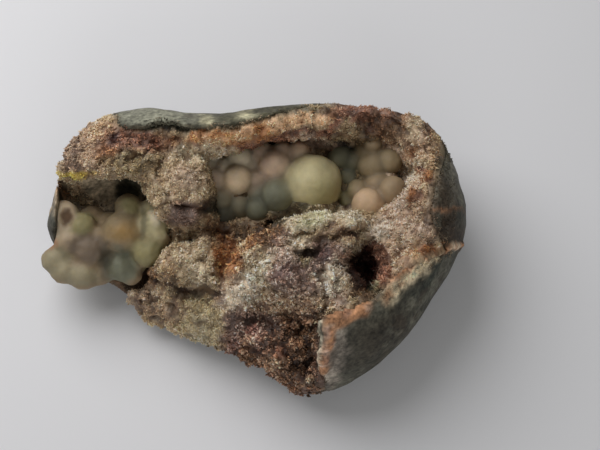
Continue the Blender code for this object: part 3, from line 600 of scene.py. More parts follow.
def as_seen(points):
    """Millimetres across and up in the camera's view, for points in millimetres."""
    x, y, z = (points - VIEW_TARGET).T
    cos, sin = math.cos(VIEW_ANGLE), math.sin(VIEW_ANGLE)
    scale = VIEW_DISTANCE / (VIEW_DISTANCE - (z * sin - y * cos))
    return VIEW_TARGET[0] + x * scale, (y * sin + z * cos) * scale


def turned_to_view(normals):
    """1 where a surface is turned to the camera and 0 where it is turned away."""
    return smooth((normals @ TO_CAMERA + 0.05) / 0.25)


def wandering(points, bands, sway, size, count, seeds):
    """How much a point belongs to any of the bands, whose edges wander."""
    across, up = as_seen(points)
    across = across + sway * layers(points, size, count, seeds[0])
    up = up + sway * layers(points, size, count, seeds[1])
    return np.max([band.weight(across, up) for band in bands], 0)


def lay(colours, over, weight):
    """Lays one colour, or one for each point, over the others."""
    colours += (over - colours) * weight[:, None]


def painted(points, base, patches, ragged=0.9, facing=1):
    """A colour for each point: the base colour with the patches laid over it in order.

    Where facing is given, the patches stay on the side turned to the camera.
    """
    across, up = as_seen(points)
    across = across + ragged * (0.8 * layers(points, 2.8, 3, 11) + 0.3 * swell(points, 0.5, 16))
    up = up + ragged * (0.8 * layers(points, 2.8, 3, 21) + 0.3 * swell(points, 0.5, 26))
    colours = np.tile(tint(base), (len(points), 1))
    for patch in patches:
        lay(colours, tint(patch.colour), patch.weight(across, up) * facing)
    return colours


# Meshes


def rows_of(items, key, width=3, kind=np.float32):
    """One property of all items, a row for each."""
    flat = np.empty(len(items) * width, kind)
    items.foreach_get(key, flat)
    return flat.reshape(-1, width)


def points_of(mesh):
    """The mesh's points in millimetres."""
    return rows_of(mesh.vertices, "co").astype(float) / MM


def normals_of(mesh):
    return rows_of(mesh.vertex_normals, "vector").astype(float)


def triangles_of(mesh):
    mesh.calc_loop_triangles()
    return rows_of(mesh.loop_triangles, "vertices", kind=np.int32)


def unit(vectors):
    return vectors / np.linalg.norm(vectors, axis=1)[:, None]


def move_points(mesh, points):
    mesh.vertices.foreach_set("co", (points * MM).astype(np.float32).ravel())
    mesh.update()


def set_colours(mesh, colours):
    """Stores a colour at each point of the mesh, for its material to read."""
    layer = mesh.color_attributes.new(COLOUR, "FLOAT_COLOR", "POINT")
    filled = np.ones((len(mesh.vertices), 4), np.float32)
    filled[:, :3] = np.clip(colours, 0, 1)
    layer.data.foreach_set("color", filled.ravel())
    mesh.color_attributes.active_color = layer


def new_mesh(name, points, faces):
    """A mesh of triangles from arrays of points, in millimetres, and corners."""
    mesh = bpy.data.meshes.new(name)
    mesh.vertices.add(len(points))
    mesh.loops.add(faces.size)
    mesh.polygons.add(len(faces))
    mesh.vertices.foreach_set("co", (points * MM).astype(np.float32).ravel())
    mesh.loops.foreach_set("vertex_index", faces.astype(np.int32).ravel())
    mesh.polygons.foreach_set("loop_start", np.arange(0, faces.size, 3, dtype=np.int32))
    mesh.update(calc_edges=True)
    return mesh


def new_object(name, data):
    made = bpy.data.objects.new(name, data)
    bpy.context.scene.collection.objects.link(made)
    return made


def new_piece(name, mesh, colours, finish, slot, *nodes):
    """Puts a coloured mesh in the scene, riding on the specimen and standing for the nodes."""
    set_colours(mesh, colours)
    mesh.materials.clear()
    mesh.materials.append(finish)
    piece = new_object(name, mesh)
    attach(piece, BODY)
    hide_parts(*nodes)
    return piece


def remeshed(mesh, cell):
    """One even skin over a mesh, with faces of this size, in metres."""
    rough = new_object("rough", mesh)
    modifier = rough.modifiers.new("even skin", "REMESH")
    modifier.mode = "VOXEL"
    modifier.voxel_size = cell
    bpy.context.view_layer.update()
    graph = bpy.context.evaluated_depsgraph_get()
    even = bpy.data.meshes.new_from_object(rough.evaluated_get(graph))
    bpy.data.objects.remove(rough)
    return even


def relax(mesh, points, rounds, weight=1):
    """Evens out the points with those they are joined to, without shrinking the form."""
    a, b = rows_of(mesh.edges, "vertices", 2, np.int32).T
    count = np.maximum(np.bincount(np.concatenate([a, b]), minlength=len(points)), 1)[:, None]
    weight = np.broadcast_to(weight, len(points))[:, None]
    for turn in range(2 * rounds):
        # Inwards and, a little further, outwards by turns, so that the form keeps its size.
        total = np.stack(
            [
                np.bincount(a, points[b, axis], len(points)) + np.bincount(b, points[a, axis], len(points))
                for axis in range(3)
            ],
            -1,
        )
        share = -0.53 if turn % 2 else 0.5
        points = points + share * weight * (total / count - points)
    return points


def tree_of(mesh):
    return BVHTree.FromPolygons(
        [v.co for v in mesh.vertices], [p.vertices[:] for p in mesh.polygons]
    )


def nearest_on(tree, points):
    """For each point, the nearest place on a surface and how far off it is, in millimetres."""
    places = np.empty_like(points)
    gaps = np.empty(len(points))
    for i, point in enumerate(points):
        place, _, _, gap = tree.find_nearest(point * MM)
        places[i] = place
        gaps[i] = gap
    return places / MM, gaps / MM


def kept_in_box(points):
    """Keeps points inside the solids' box."""
    return np.clip(points, np.array(CAD_LOW) / MM, np.array(CAD_HIGH) / MM)


def solid(name):
    """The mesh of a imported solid."""
    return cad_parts[name].data


# Materials


def wired(tree, node_type, *inputs, settings=None, **named):
    """A new node with its inputs given or linked, by their order or name, and some properties set."""
    node = tree.nodes.new(node_type)
    for key, value in (settings or {}).items():
        setattr(node, key, value)
    for key, value in (*enumerate(inputs), *named.items()):
        if isinstance(value, bpy.types.NodeSocket):
            tree.links.new(value, node.inputs[key])
        else:
            node.inputs[key].default_value = value
    return node


def reckoned(tree, operation, *inputs):
    """What comes out of a sum."""
    return wired(tree, "ShaderNodeMath", *inputs, settings={"operation": operation}).outputs[0]


def brightened(tree, colour, factor):
    scale = {"operation": "SCALE"}
    return wired(tree, "ShaderNodeVectorMath", colour, settings=scale, Scale=factor).outputs[0]


def new_group(name, numbers, outputs, fill):
    """A group of shader nodes, made once, that takes a colour and these numbers.

    The function fill makes its nodes and gives what each output gets.
    """
    if name in bpy.data.node_groups:
        return bpy.data.node_groups[name]
    group = bpy.data.node_groups.new(name, "ShaderNodeTree")
    for socket, value in {"Color": (0.5, 0.5, 0.5, 1), **numbers}.items():
        kind = "NodeSocketColor" if socket == "Color" else "NodeSocketFloat"
        group.interface.new_socket(socket, in_out="INPUT", socket_type=kind).default_value = value
    for socket in outputs:
        kind = "NodeSocketColor" if socket == "Color" else "NodeSocketFloat"
        group.interface.new_socket(socket, in_out="OUTPUT", socket_type=kind)
    start = group.nodes.new("NodeGroupInput")
    end = group.nodes.new("NodeGroupOutput")
    place = wired(group, "ShaderNodeTexCoord").outputs["Object"]
    for socket, made in zip(outputs, fill(group, start.outputs, place)):
        group.links.new(made, end.inputs[socket])
    return group


def fill_grain(group, given, place):
    """Specks of lighter and darker colour, a height that follows them, and a roughness."""
    fine = wired(group, "ShaderNodeTexNoise", Vector=place, Scale=given["Scale"], Detail=3, Roughness=0.6)
    cells = wired(group, "ShaderNodeTexVoronoi", Vector=place, Scale=given["Scale"])
    mixed = reckoned(group, "ADD", fine.outputs[0], cells.outputs[0])
    centred = reckoned(group, "SUBTRACT", mixed, 0.95)
    swing = reckoned(group, "MULTIPLY_ADD", centred, given["Contrast"], 1)
    tinted = brightened(group, given["Color"], swing)
    rough = wired(group, "ShaderNodeMapRange", fine.outputs[0], **{"To Min": 0.3, "To Max": 0.75})
    return tinted, mixed, rough.outputs[0]


def grain_group():
    numbers = {"Scale": 1500, "Contrast": 0.3}
    return new_group("Mineral grain", numbers, ("Color", "Height", "Roughness"), fill_grain)


def fill_mottling(group, given, place):
    """Cloudy patches and fine dark flecks over a colour, as on rock and in wax."""
    cloud = wired(group, "ShaderNodeTexNoise", Vector=place, Scale=given["Scale"], Detail=5, Roughness=0.62)
    finer = reckoned(group, "MULTIPLY", given["Scale"], 6)
    fleck = wired(group, "ShaderNodeTexNoise", Vector=place, Scale=finer, Detail=2)
    centred = reckoned(group, "SUBTRACT", cloud.outputs[0], 0.5)
    swing = reckoned(group, "MULTIPLY_ADD", centred, given["Contrast"], 1)
    specks = reckoned(group, "SUBTRACT", fleck.outputs[0], 0.5)
    both = reckoned(group, "MULTIPLY_ADD", specks, given["Flecks"], swing)
    return brightened(group, given["Color"], both), fleck.outputs[0]


def mottle_group():
    numbers = {"Scale": 300, "Contrast": 0.3, "Flecks": 0.3}
    return new_group("Cloudy mottling", numbers, ("Color", "Height"), fill_mottling)


def finish_of(name, group, values, bump, fixed):
    """A material that takes each point's colour through a group of nodes."""
    made = bpy.data.materials.new(name)
    made.use_nodes = True
    tree = made.node_tree
    shader = tree.nodes["Principled BSDF"]
    colour = wired(tree, "ShaderNodeAttribute", settings={"attribute_name": COLOUR}).outputs["Color"]
    effect = wired(tree, "ShaderNodeGroup", settings={"node_tree": group}, Color=colour, **values)
    tree.links.new(effect.outputs["Color"], shader.inputs["Base Color"])
    if "Roughness" in effect.outputs:
        tree.links.new(effect.outputs["Roughness"], shader.inputs["Roughness"])
    if bump:
        raised = wired(tree, "ShaderNodeBump", Height=effect.outputs["Height"], Distance=bump * MM)
        tree.links.new(raised.outputs["Normal"], shader.inputs["Normal"])
    for socket, value in fixed.items():
        shader.inputs[socket].default_value = value
    return made


def rock_finish():
    values = {"Scale": 260, "Contrast": 2, "Flecks": 2.2}
    fixed = {"Roughness": 0.66, "Specular IOR Level": 0.25}
    return finish_of("Worn rock", mottle_group(), values, 0.16, fixed)


def crust_finish():
    return finish_of("Crust between crystals", grain_group(), {"Scale": 2600, "Contrast": 0.5}, 0.1, {})


def crystal_finish():
    values = {"Scale": 1800, "Contrast": 0.2}
    return finish_of("Sugar crystals", grain_group(), values, 0, {"Specular IOR Level": 0.2})


def globe_finish(name):
    wax = {
        "Roughness": 0.62,
        "Subsurface Weight": 0.3,
        "Subsurface Radius": (1, 0.7, 0.35),
        "Subsurface Scale": 1.2 * MM,
        "Specular IOR Level": 0.35,
    }
    return finish_of(name, mottle_group(), {"Scale": 330, "Contrast": 0.5, "Flecks": 0.12}, 0.02, wax)


# Sizes and colours that can be changed


def tone(name, description, default):
    """A colour that can be changed."""
    return FloatVectorProperty(
        name=name, description=description, default=default, subtype="COLOR", size=3, min=0, max=1
    )


class CrystalColours(PropertyGroup):
    """Colours of the crust, from pale to dark."""

    white: tone("White", "Bright, sparkling crystals", (0.93, 0.84, 0.71))
    cream: tone("Cream", "The hump's pale rim and crest", (0.78, 0.69, 0.52))
    pale_pink: tone("Pale pink", "Pale crystals with a breath of pink", (0.64, 0.5, 0.41))
    beige: tone("Beige", "Sugar on the tongue and in the valley", (0.54, 0.43, 0.3))
    dusty: tone("Dusty", "The ledge's dull outer rim", (0.33, 0.25, 0.2))
    pinkish: tone("Pinkish", "The right wall's grains", (0.62, 0.455, 0.335))
    olive_beige: tone("Olive beige", "The foot's pale green lumps", (0.42, 0.36, 0.235))
    pale_green: tone("Pale green", "The crest's palest lumps", (0.74, 0.74, 0.5))
    yellow: tone("Yellow", "Stain on the ledge's edge", (0.72, 0.56, 0.13))
    peach: tone("Peach", "The far wall's pale band", (0.93, 0.63, 0.4))
    orange: tone("Orange", "Iron stain, bright", (0.57, 0.29, 0.145))
    rust: tone("Rust", "Iron stain, deep", (0.36, 0.17, 0.08))
    red: tone("Red", "A few red grains", (0.40, 0.07, 0.04))
    # Red brown of the ledge, also laid as the painted shadow under the far wall's lip.
    red_brown_and_shade: tone("Red brown", "The ledge's upper band", (0.31, 0.17, 0.125))
    maroon: tone("Maroon", "The lower mass", (0.2, 0.125, 0.1))
    mauve: tone("Mauve", "Violet stain on the hump's face", (0.32, 0.2, 0.21))
    purple_grey: tone("Purple grey", "The hump's face", (0.27, 0.2, 0.18))
    grey_brown: tone("Grey brown", "Dull grains at the foot", (0.4, 0.31, 0.235))
    grey_green: tone("Grey green", "Dull grains in the hollow", (0.17, 0.152, 0.1))
    olive_brown: tone("Olive brown", "The hollow's floor", (0.2, 0.15, 0.085))
    # Dark brown of the rock, also laid as painted shade in recesses and crevices.
    dark_brown_and_shade: tone("Dark brown", "Crevices", (0.15, 0.09, 0.052))
    # Painted shade in the pit and in small holes and recesses.
    black_brown_shade: tone("Black brown", "The pit", (0.06, 0.023, 0.018))
    # Painted shade in deep crevices, gaps and holes.
    black_green_shade: tone("Black green", "Deep crevices", (0.045, 0.042, 0.028))


class SkinColours(PropertyGroup):
    """Colours of the pebble's worn skin."""

    skin: tone("Skin", "Greenish grey rock", (0.066, 0.063, 0.047))
    skin_pale: tone("Pale skin", "The far edge's skin", (0.29, 0.285, 0.215))
    skin_olive: tone("Olive skin", "The far edge's darker skin", (0.078, 0.071, 0.043))
    skin_cream: tone("Cream spot", "Pale spots on the far skin", (0.42, 0.385, 0.25))
    skin_brown: tone("Brown skin", "Stained skin at the right end", (0.045, 0.031, 0.02))
    edge_brown: tone("Edge brown", "Thin grains over the right end's skin", (0.13, 0.1, 0.072))
    # Pale grey skin, and a painted highlight along the smooth stripe on the flank.
    skin_light_and_sheen: tone("Light stripe", "Smooth grey stripe", (0.16, 0.152, 0.115))
    skin_dark: tone("Dark patch", "Dark green patch", (0.03, 0.034, 0.025))
    rind: tone("Rind", "Pale rind below the seam", (0.95, 0.78, 0.53))
    whitish: tone("Whitish", "Mottled pale skin by the seam", (0.305, 0.262, 0.215))
    seam: tone("Seam", "Orange seam along the break", (0.43, 0.215, 0.11))


class GlobeColours(PropertyGroup):
    """Colours of the waxy globes."""

    globe_yellow: tone("Yellow green", "The largest globe", (0.49, 0.43, 0.25))
    globe_pale: tone("Pale", "Pale rims", (0.315, 0.268, 0.17))
    peach_grey: tone("Peach grey", "A soft, pale globe in the hollow's left", (0.62, 0.48, 0.32))
    globe_peach: tone("Peach", "Warm, bright globes", (0.45, 0.315, 0.2))
    globe_ochre: tone("Ochre", "Ochre globes", (0.235, 0.18, 0.105))
    ochre: tone("Deep ochre", "The ochre lobe's middle", (0.32, 0.2, 0.075))
    globe_beige: tone("Beige", "Grey beige globes", (0.28, 0.205, 0.125))
    globe_pink: tone("Pink grey", "Pink grey globes", (0.185, 0.137, 0.095))
    # Yellow green of the lobes, also laid as painted shade on the big globe.
    globe_green_and_shade: tone("Green", "Yellow green lobes", (0.27, 0.235, 0.115))
    globe_blue: tone("Grey green", "Cool grey green globes", (0.16, 0.16, 0.11))


def length_of(name, description, default, least):
    """A length that can be changed. Default and least are in millimetres."""
    return FloatProperty(
        name=name,
        description=description,
        default=default * MM,
        min=least * MM,
        subtype="DISTANCE",
        unit="LENGTH",
    )


class SpecimenSizes(PropertyGroup):
    """Sizes of the surface's detail."""

    skin_cell: length_of("Skin detail", "Size of the worn skin's faces", 0.56, 0.3)
    crust_cell: length_of("Crust detail", "Size of the crust's faces", 0.35, 0.25)
    globe_cell: length_of("Globe detail", "Size of the globes' faces", 0.27, 0.2)
    crystal_size: FloatProperty(
        name="Crystal size",
        description="Length of the crystals, as a factor",
        default=1.0,
        min=0.5,
        max=2.0,
    )
    edge_reach: length_of("Edge reach", "How far crystals spread from the crust onto the worn skin", 1.2, 0.6)


COLOUR_GROUPS = ("crystal_colours", "skin_colours", "globe_colours")


def tint(name):
    """A colour of the specimen by its name."""
    for group in COLOUR_GROUPS:
        colours = getattr(bpy.context.scene, group)
        if hasattr(colours, name):
            return np.array(getattr(colours, name))
    raise KeyError(f"no colour is named {name}")


def sizes():
    return bpy.context.scene.specimen_sizes


# The pieces


def seam_colours(points):
    """The seam's colours along its length: orange, with others by turns."""
    colours = np.tile(tint("seam"), (len(points), 1))
    for name, size, seed, share in SEAM_TURNS:
        lay(colours, tint(name), share * smooth((layers(points, size, 2, seed) - 0.2) / 0.5))
    return colours


def seam_weight(points):
    """How much a point belongs to the orange seam."""
    return wandering(points, SEAM_BANDS, 0.45, 1.7, 2, (31, 33))


def crest_drop(points):
    """How far the hump's crest comes forward and down, in millimetres."""
    weight = HUMP_CREST.weight(*as_seen(points)) * smooth((points[:, 2] - 12) / 3)
    return weight[:, None] * CREST_DROP


def crust_shift(points):
    """How far the crust is moved off its solid, in millimetres."""
    moved = crest_drop(points)
    across, up = as_seen(points)
    for place, lowest, towards_camera, back in CRUST_SHIFTS:
        weight = place.weight(across, up) * smooth((points[:, 2] - lowest) / 3)
        moved = moved + weight[:, None] * (TO_CAMERA * towards_camera + (0, back, 0))
    return moved


def make_worn_pebble():
    """The pebble: the solid's form with its facets evened out, and a worn, mottled skin."""
    mesh = remeshed(solid("host_rock").copy(), sizes().skin_cell)
    points = points_of(mesh)
    _, gap = nearest_on(tree_of(solid("crystal_crust")), points)
    away = smooth((gap - 0.7) / 1.6)
    on_floor = points[:, 2] < FLAT_HEIGHT
    points = relax(mesh, points, PEBBLE_ROUNDS, np.where(on_floor, 0, away))
    move_points(mesh, points)
    normals = normals_of(mesh)
    facing = turned_to_view(normals)
    seam = seam_weight(points) * facing
    undulation = 0.1 * layers(points, 3.4, 3, 21)
    dimples = 0.16 * smooth(3 * swell(points, 1.3, 24) - 1.6)
    rough_edge = 0.22 * (1 - smooth(gap / 2.4)) * layers(points, 1.1, 2, 27)
    lobe, _ = knobs(points, 2.2, 28)
    relief = undulation - dimples + rough_edge + seam * (0.1 + 0.5 * lobe)
    points += normals * np.where(on_floor, 0, relief)[:, None]
    # The rock below the crest is moved further than the crust on it, and so stays covered.
    points += 1.25 * crest_drop(points) * (gap < 4)[:, None]
    points = kept_in_box(points)
    move_points(mesh, points)
    # The skin's patches with the seam over them, then its streaks, crackle, stains and bloom.
    across, up = as_seen(points)
    colours = painted(points, "skin", SKIN_PATCHES, 0.9, facing)
    lay(colours, seam_colours(points), seam)
    lay(colours, tint(SEAM_EDGE.colour), facing * SEAM_EDGE.weight(across, up))
    streak = layers(points * (1, 0.22, 0.22), 0.8, 3, 36)
    colours *= (1 + (0.12 + 0.25 * WHITISH.weight(across, up)) * streak)[:, None]
    crackle, tile = knobs(points + 0.4 * layers(points, 1.4, 2, 37)[:, None], 1.3, 38)
    colours *= (0.75 + 0.35 * smooth(crackle * 1.6) + 0.3 * (tile - 0.5))[:, None]
    stain = smooth((layers(points, 2.6, 4, 35) - 0.25) / 0.7)
    lay(colours, tint("skin_brown"), 0.65 * stain * (1 - seam))
    bloom = smooth((layers(points, 2, 4, 39) - 0.35) / 0.6)
    lay(colours, tint("skin_light_and_sheen"), 0.6 * bloom * (1 - seam))
    colours *= (1 + 0.2 * layers(points, 1.6, 3, 34))[:, None]
    mesh.shade_smooth()
    return new_piece("worn_pebble", mesh, colours, rock_finish(), "worn_rock", "host_rock")


def inside_globe(points, margin):
    """Whether each point lies in one of the hollow's globes, grown by a margin."""
    found = np.zeros(len(points), bool)
    for x, y, z, radius, _ in GLOBES:
        found |= ((points - (x, y, z)) ** 2).sum(-1) < (radius + margin) ** 2
    return found


def pit_mask(points):
    """Where the crust has small open pits between its crystals."""
    knob, _ = knobs(points, 1.5, 41)
    return smooth((swell(points, 1.1, 45) - 0.28) / 0.3) * smooth((0.75 - knob) / 0.3)


def crust_form(points):
    """How far the crust's knobs, grains and pits stand out, how creased it is there, and its colour, with
    painted shade in the creases.
    """
    drift = np.stack([swell(points, 1.9, 60 + axis) for axis in range(3)], -1)
    knob, owner = knobs(points + 0.5 * drift, KNOB_SIZE, 51)
    grain, grain_owner = knobs(points + 0.25 * drift, GRAIN_SIZE, 54)
    pit = pit_mask(points)
    crevice = smooth((layers(points, 2.4, 3, 47) - 0.55) / 0.2) * smooth((0.8 - grain) / 0.2)
    drawn = wandering(points, CREVICES, 0.75, 1.5, 3, (12, 22)) * smooth((points[:, 2] - 6) / 4)
    unevenness = 0.2 * layers(points, 1.5, 2, 57)
    relief = KNOB_RELIEF * (knob - 0.72) + GRAIN_RELIEF * (grain - 0.65) + unevenness
    relief -= PIT_DEPTH * pit + CREVICE_DEPTH * crevice + DRAWN_DEPTH * drawn
    # How creased each place is, with its pits and crevices; it sets the painted shade below.
    crease = 0.6 * (1 - smooth((knob - 0.25) / 0.45)) + 0.75 * (1 - smooth((grain - 0.4) / 0.35))
    crease = np.clip(crease + 0.6 * pit + 0.9 * crevice + drawn, 0, 1)
    colours = painted(points, "beige", CRUST_PATCHES)
    pale = colours.mean(-1)
    pore, _ = knobs(points + 0.3 * drift, GRAIN_SIZE, 77)
    lay(colours, tint("dark_brown_and_shade"), 0.8 * smooth((pore - 0.9) / 0.05) * smooth((pale - 0.42) / 0.15))
    light = CRUST_LIGHT + 0.25 * (owner - 0.5) + 0.4 * (grain_owner - 0.5)
    light += 0.12 * layers(points, 4, 2, 67)
    light *= np.exp(0.55 * (1 - pale) * layers(points, 0.9, 2, 68))
    warmth = (0.5 * owner + 0.5 * grain_owner - 0.5)[:, None] * (0.14, 0, -0.14)
    # Painted shade: creased, pitted and crevice places are darker, less so where the crust is pale.
    shaded = (crease * (1.15 - 0.95 * pale))[:, None]
    tints = (light[:, None] + warmth) * (0.97, 0.91, 0.83) * (1 - shaded * (0.74, 0.83, 0.87))
    return relief, crease, colours * np.clip(tints, 0.04, 2)


def make_crust_skin():
    """The crust under its crystals, knobbly, pitted and grown onto the rock.

    Gives its points, and the faces that crystals can grow on.
    """
    mesh = remeshed(solid("crystal_crust").copy(), sizes().crust_cell)
    points = relax(mesh, points_of(mesh), CRUST_ROUNDS)
    move_points(mesh, points)
    normals = normals_of(mesh)
    place, gap = nearest_on(tree_of(solid("host_rock")), points)
    facing = ((place - points) * normals).sum(-1) / np.maximum(gap, 0.01)
    rooted = (gap < ROOT_REACH) & (facing > 0.25)
    relief, _, _ = crust_form(points)
    relief = np.where(inside_globe(points, GLOBE_MARGIN), UNDER_GLOBES, relief)
    rooting = (place - points) / np.maximum(gap, 0.01)[:, None] * (gap + ROOT_DEPTH)[:, None]
    moved = normals * relief[:, None] + crust_shift(points)
    points = kept_in_box(points + np.where(rooted[:, None], rooting, moved))
    move_points(mesh, points)
    _, _, colours = crust_form(points)
    mesh.shade_smooth()
    # Painted shade among the crystals: the crust between them is darker.
    colours *= SHADE_BETWEEN_CRYSTALS
    new_piece("crust_skin", mesh, colours, crust_finish(), "sugary_crust", "crystal_crust")
    open_air = ~rooted & ~inside_globe(points, 0.1)
    faces = triangles_of(mesh)
    return points, faces[open_air[faces].all(1)]


def sown(points, faces, density, rng):
    """Random places on some faces, so many to a square millimetre, and the way out of the surface."""
    a, b, c = (points[faces[:, i]] for i in range(3))
    across = np.cross(b - a, c - a)
    area = np.linalg.norm(across, axis=1)
    count = int(density * area.sum() / 2)
    picked = rng.choice(len(faces), count, p=area / area.sum())
    u, v = rng.random((2, count, 1))
    over = u + v > 1
    u, v = np.where(over, 1 - u, u), np.where(over, 1 - v, v)
    places = a[picked] + u * (b - a)[picked] + v * (c - a)[picked]
    return places, across[picked] / np.maximum(area[picked], 1e-9)[:, None]


def crystals(places, directions, length, width, rng):
    """Closed, three-sided crystals with a pointed tip: their points and faces."""
    count = len(places)
    aside = unit(np.cross(directions, rng.normal(size=(count, 3))))
    other = np.cross(directions, aside)
    length, width = length[:, None], width[:, None]
    root = places - 0.1 * length * directions
    points = np.stack(
        [
            root + width * aside,
            root + width * (0.87 * other - 0.5 * aside),
            root - width * (0.87 * other + 0.5 * aside),
            places + length * directions,
        ],
        1,
    )
    corners = np.array([(0, 2, 1), (3, 0, 1), (3, 1, 2), (3, 2, 0)])
    faces = (np.arange(count) * 4)[:, None, None] + corners
    return points.reshape(-1, 3), faces.reshape(-1, 3)


def make_sugar(skin, faces):
    """Tufts of small crystals over the faces, in one piece for each stretch of the crust."""
    rng = np.random.default_rng(7)
    across, up = as_seen(skin[faces].mean(1))
    gaps = [np.hypot(across - s.across, up - s.up) for s in SOWINGS.values()]
    owner = np.argmin(gaps, 0)
    finish = crystal_finish()
    for index, (name, sowing) in enumerate(SOWINGS.items()):
        places, out = sown(skin, faces[owner == index], sowing.tufts, rng)
        _, crease, colours = crust_form(places)
        raised = crease < rng.uniform(0.15, 0.75, len(places))
        places, out = places[raised], out[raised]
        colours = colours[raised] * rng.lognormal(0, sowing.contrast, len(places))[:, None]
        size = rng.lognormal(0, 0.25, len(places)) * np.clip(0.6 + colours.mean(-1), 0.6, 1)
        places, out, colours, size = (
            np.repeat(values, sowing.crystals, 0) for values in (places, out, colours, size)
        )
        count = len(places)
        directions = unit(out + sowing.spread * rng.normal(size=(count, 3)))
        facing = (directions * out).sum(-1)
        directions[facing < 0] -= 2 * facing[facing < 0, None] * out[facing < 0]
        length = sowing.length * sizes().crystal_size * size * rng.lognormal(0, 0.25, count)
        places = places + rng.normal(scale=0.08 + 0.15 * sowing.length, size=(count, 3))
        points, corners = crystals(places, directions, length, length / sowing.slenderness * 0.7, rng)
        mesh = new_mesh(name, kept_in_box(points), corners)
        colours *= rng.lognormal(0, 0.7 * sowing.contrast, count)[:, None]
        pale = (rng.random(count) < 0.2 * sowing.contrast)[:, None]
        colours = np.where(pale, 0.7 * colours + 0.3 * tint("white"), colours)
        # Painted shade at each crystal's root and painted light at its tip.
        shades = (colours[:, None] * CRYSTAL_PAINTED_LIGHT).reshape(-1, 3)
        new_piece(name, mesh, shades, finish, "sugary_crust", "crystal_crust")


def make_edge_sugar(pebble):
    """Crystals that have spread from the crust onto the pebble's broken edge."""
    rng = np.random.default_rng(11)
    mesh = pebble.data
    points = points_of(mesh)
    faces = triangles_of(mesh)
    crust = tree_of(solid("crystal_crust"))
    _, gap = nearest_on(crust, points)
    near = gap + 0.5 * swell(points, 1.5, 91) < sizes().edge_reach / MM
    across, up = as_seen(points)
    grown_over = np.max([RIND.weight(across, up), FOOT_EDGE.weight(across, up)], 0)
    near |= grown_over > 0.35 + 0.3 * swell(points, 1.2, 92)
    near |= RIGHT_EDGE.weight(across, up) > 0.5 + 0.5 * layers(points, 1.3, 2, 93)
    near &= (turned_to_view(normals_of(mesh)) > 0.5) | (points[:, 2] > EDGE_ALL_ROUND)
    faces = faces[near[faces].all(1) & (points[faces[:, 0], 2] > EDGE_LOWEST)]
    places, out = sown(points, faces, EDGE_DENSITY, rng)
    kept = seam_weight(places) < 0.3
    places, out = places[kept], out[kept]
    directions = unit(out + EDGE_LEAN * rng.normal(size=out.shape))
    _, gap = nearest_on(crust, places)
    shrink = 1 - 0.45 * smooth((gap - 0.5) / 1.5)
    length = EDGE_LENGTH * rng.lognormal(0, 0.3, len(places)) * shrink
    grain_points, grain_faces = crystals(places, directions, length, length * EDGE_WIDTH, rng)
    made = new_mesh("edge_sugar", kept_in_box(grain_points), grain_faces)
    across, up = as_seen(places)
    further = RIGHT_EDGE.weight(across, up) * smooth(gap - 0.6 + 0.5 * swell(places, 1.1, 95))
    on_skin = np.maximum(RIND.weight(across, up), further)
    crust_share = (0.85 * smooth((layers(places, 1.8, 2, 94) + 0.7) / 0.8) * (1 - on_skin))[:, None]
    colours = painted(places, "skin", SKIN_PATCHES) * (1 - crust_share)
    colours += painted(places, "beige", CRUST_PATCHES) * crust_share
    colours *= rng.lognormal(-0.1, 0.25, (len(places), 1))
    # Painted shade at each crystal's root and painted light at its tip.
    shades = (colours[:, None] * CRYSTAL_PAINTED_LIGHT).reshape(-1, 3)
    new_piece("edge_sugar", made, shades, crystal_finish(), "worn_rock", "host_rock")


def melted(name, lobes, swollen, rounds, core=None):
    """Round lobes, and a core, melted into one even skin: its mesh and its points."""
    bm = bmesh.new()
    if core:
        bm.from_mesh(core)
    for x, y, z, radius, *_ in lobes:
        place = Matrix.Translation(Vector((x, y, z)) * MM) @ Matrix.Scale((radius + swollen) * MM, 4)
        bmesh.ops.create_icosphere(bm, subdivisions=4, radius=1, matrix=place)
    rough = bpy.data.meshes.new(name)
    bm.to_mesh(rough)
    bm.free()
    mesh = remeshed(rough, sizes().globe_cell)
    points = relax(mesh, points_of(mesh), rounds)
    move_points(mesh, points)
    return mesh, points


def make_hollow_globes():
    """The hollow's round globes, melted into each other where they touch."""
    mesh, points = melted("globes", GLOBES, GLOBE_SWELL, HOLLOW_GLOBE_ROUNDS)
    points += normals_of(mesh) * (0.16 * layers(points, 3.4, 4, 61))[:, None]
    move_points(mesh, points)
    gaps = np.stack([np.linalg.norm(points - g[:3], axis=1) - g[3] for g in GLOBES], -1)
    shares = np.exp(-(gaps - gaps.min(-1, keepdims=True)) / 0.45)
    shares /= shares.sum(-1, keepdims=True)
    colours = shares @ np.array([tint(g[4]) for g in GLOBES])
    # Painted shade on the big globe's lower right.
    lay(colours, tint(GLOBE_SHADE.colour), GLOBE_SHADE.weight(*as_seen(points)))
    # Painted shade where the globes meet; lighter where one globe stands alone.
    clear_of_crease_shade = smooth((shares.max(-1) - 0.45) / 0.5)
    colours *= ((0.85 + 0.4 * clear_of_crease_shade) * (1 + 0.14 * layers(points, 3, 4, 64)))[:, None]
    mesh.shade_smooth()
    finish = globe_finish("Waxy hollow globes")
    new_piece("hollow_globes", mesh, colours, finish, "waxy_globes", "crystal_crust")


def make_end_globes():
    """The cluster of globes at the left end."""
    mesh, points = melted("lobes", END_LOBES, 0, END_GLOBE_ROUNDS, solid("end_cluster"))
    dent = RING_HOLLOW.weight(*as_seen(points)) * smooth((points[:, 2] - 12) / 1.5)
    points -= 0.9 * dent[:, None] * (0, 0, 1)
    points += normals_of(mesh) * (0.14 * layers(points, 2.6, 4, 71))[:, None]
    points = kept_in_box(points)
    move_points(mesh, points)
    colours = painted(points, "globe_beige", CLUSTER_PATCHES, 0.6)
    colours *= (1 + 0.12 * layers(points, 2.4, 3, 74))[:, None]
    mesh.shade_smooth()
    finish = globe_finish("Waxy end globes")
    new_piece("end_globes", mesh, colours, finish, "waxy_globes", "end_cluster")


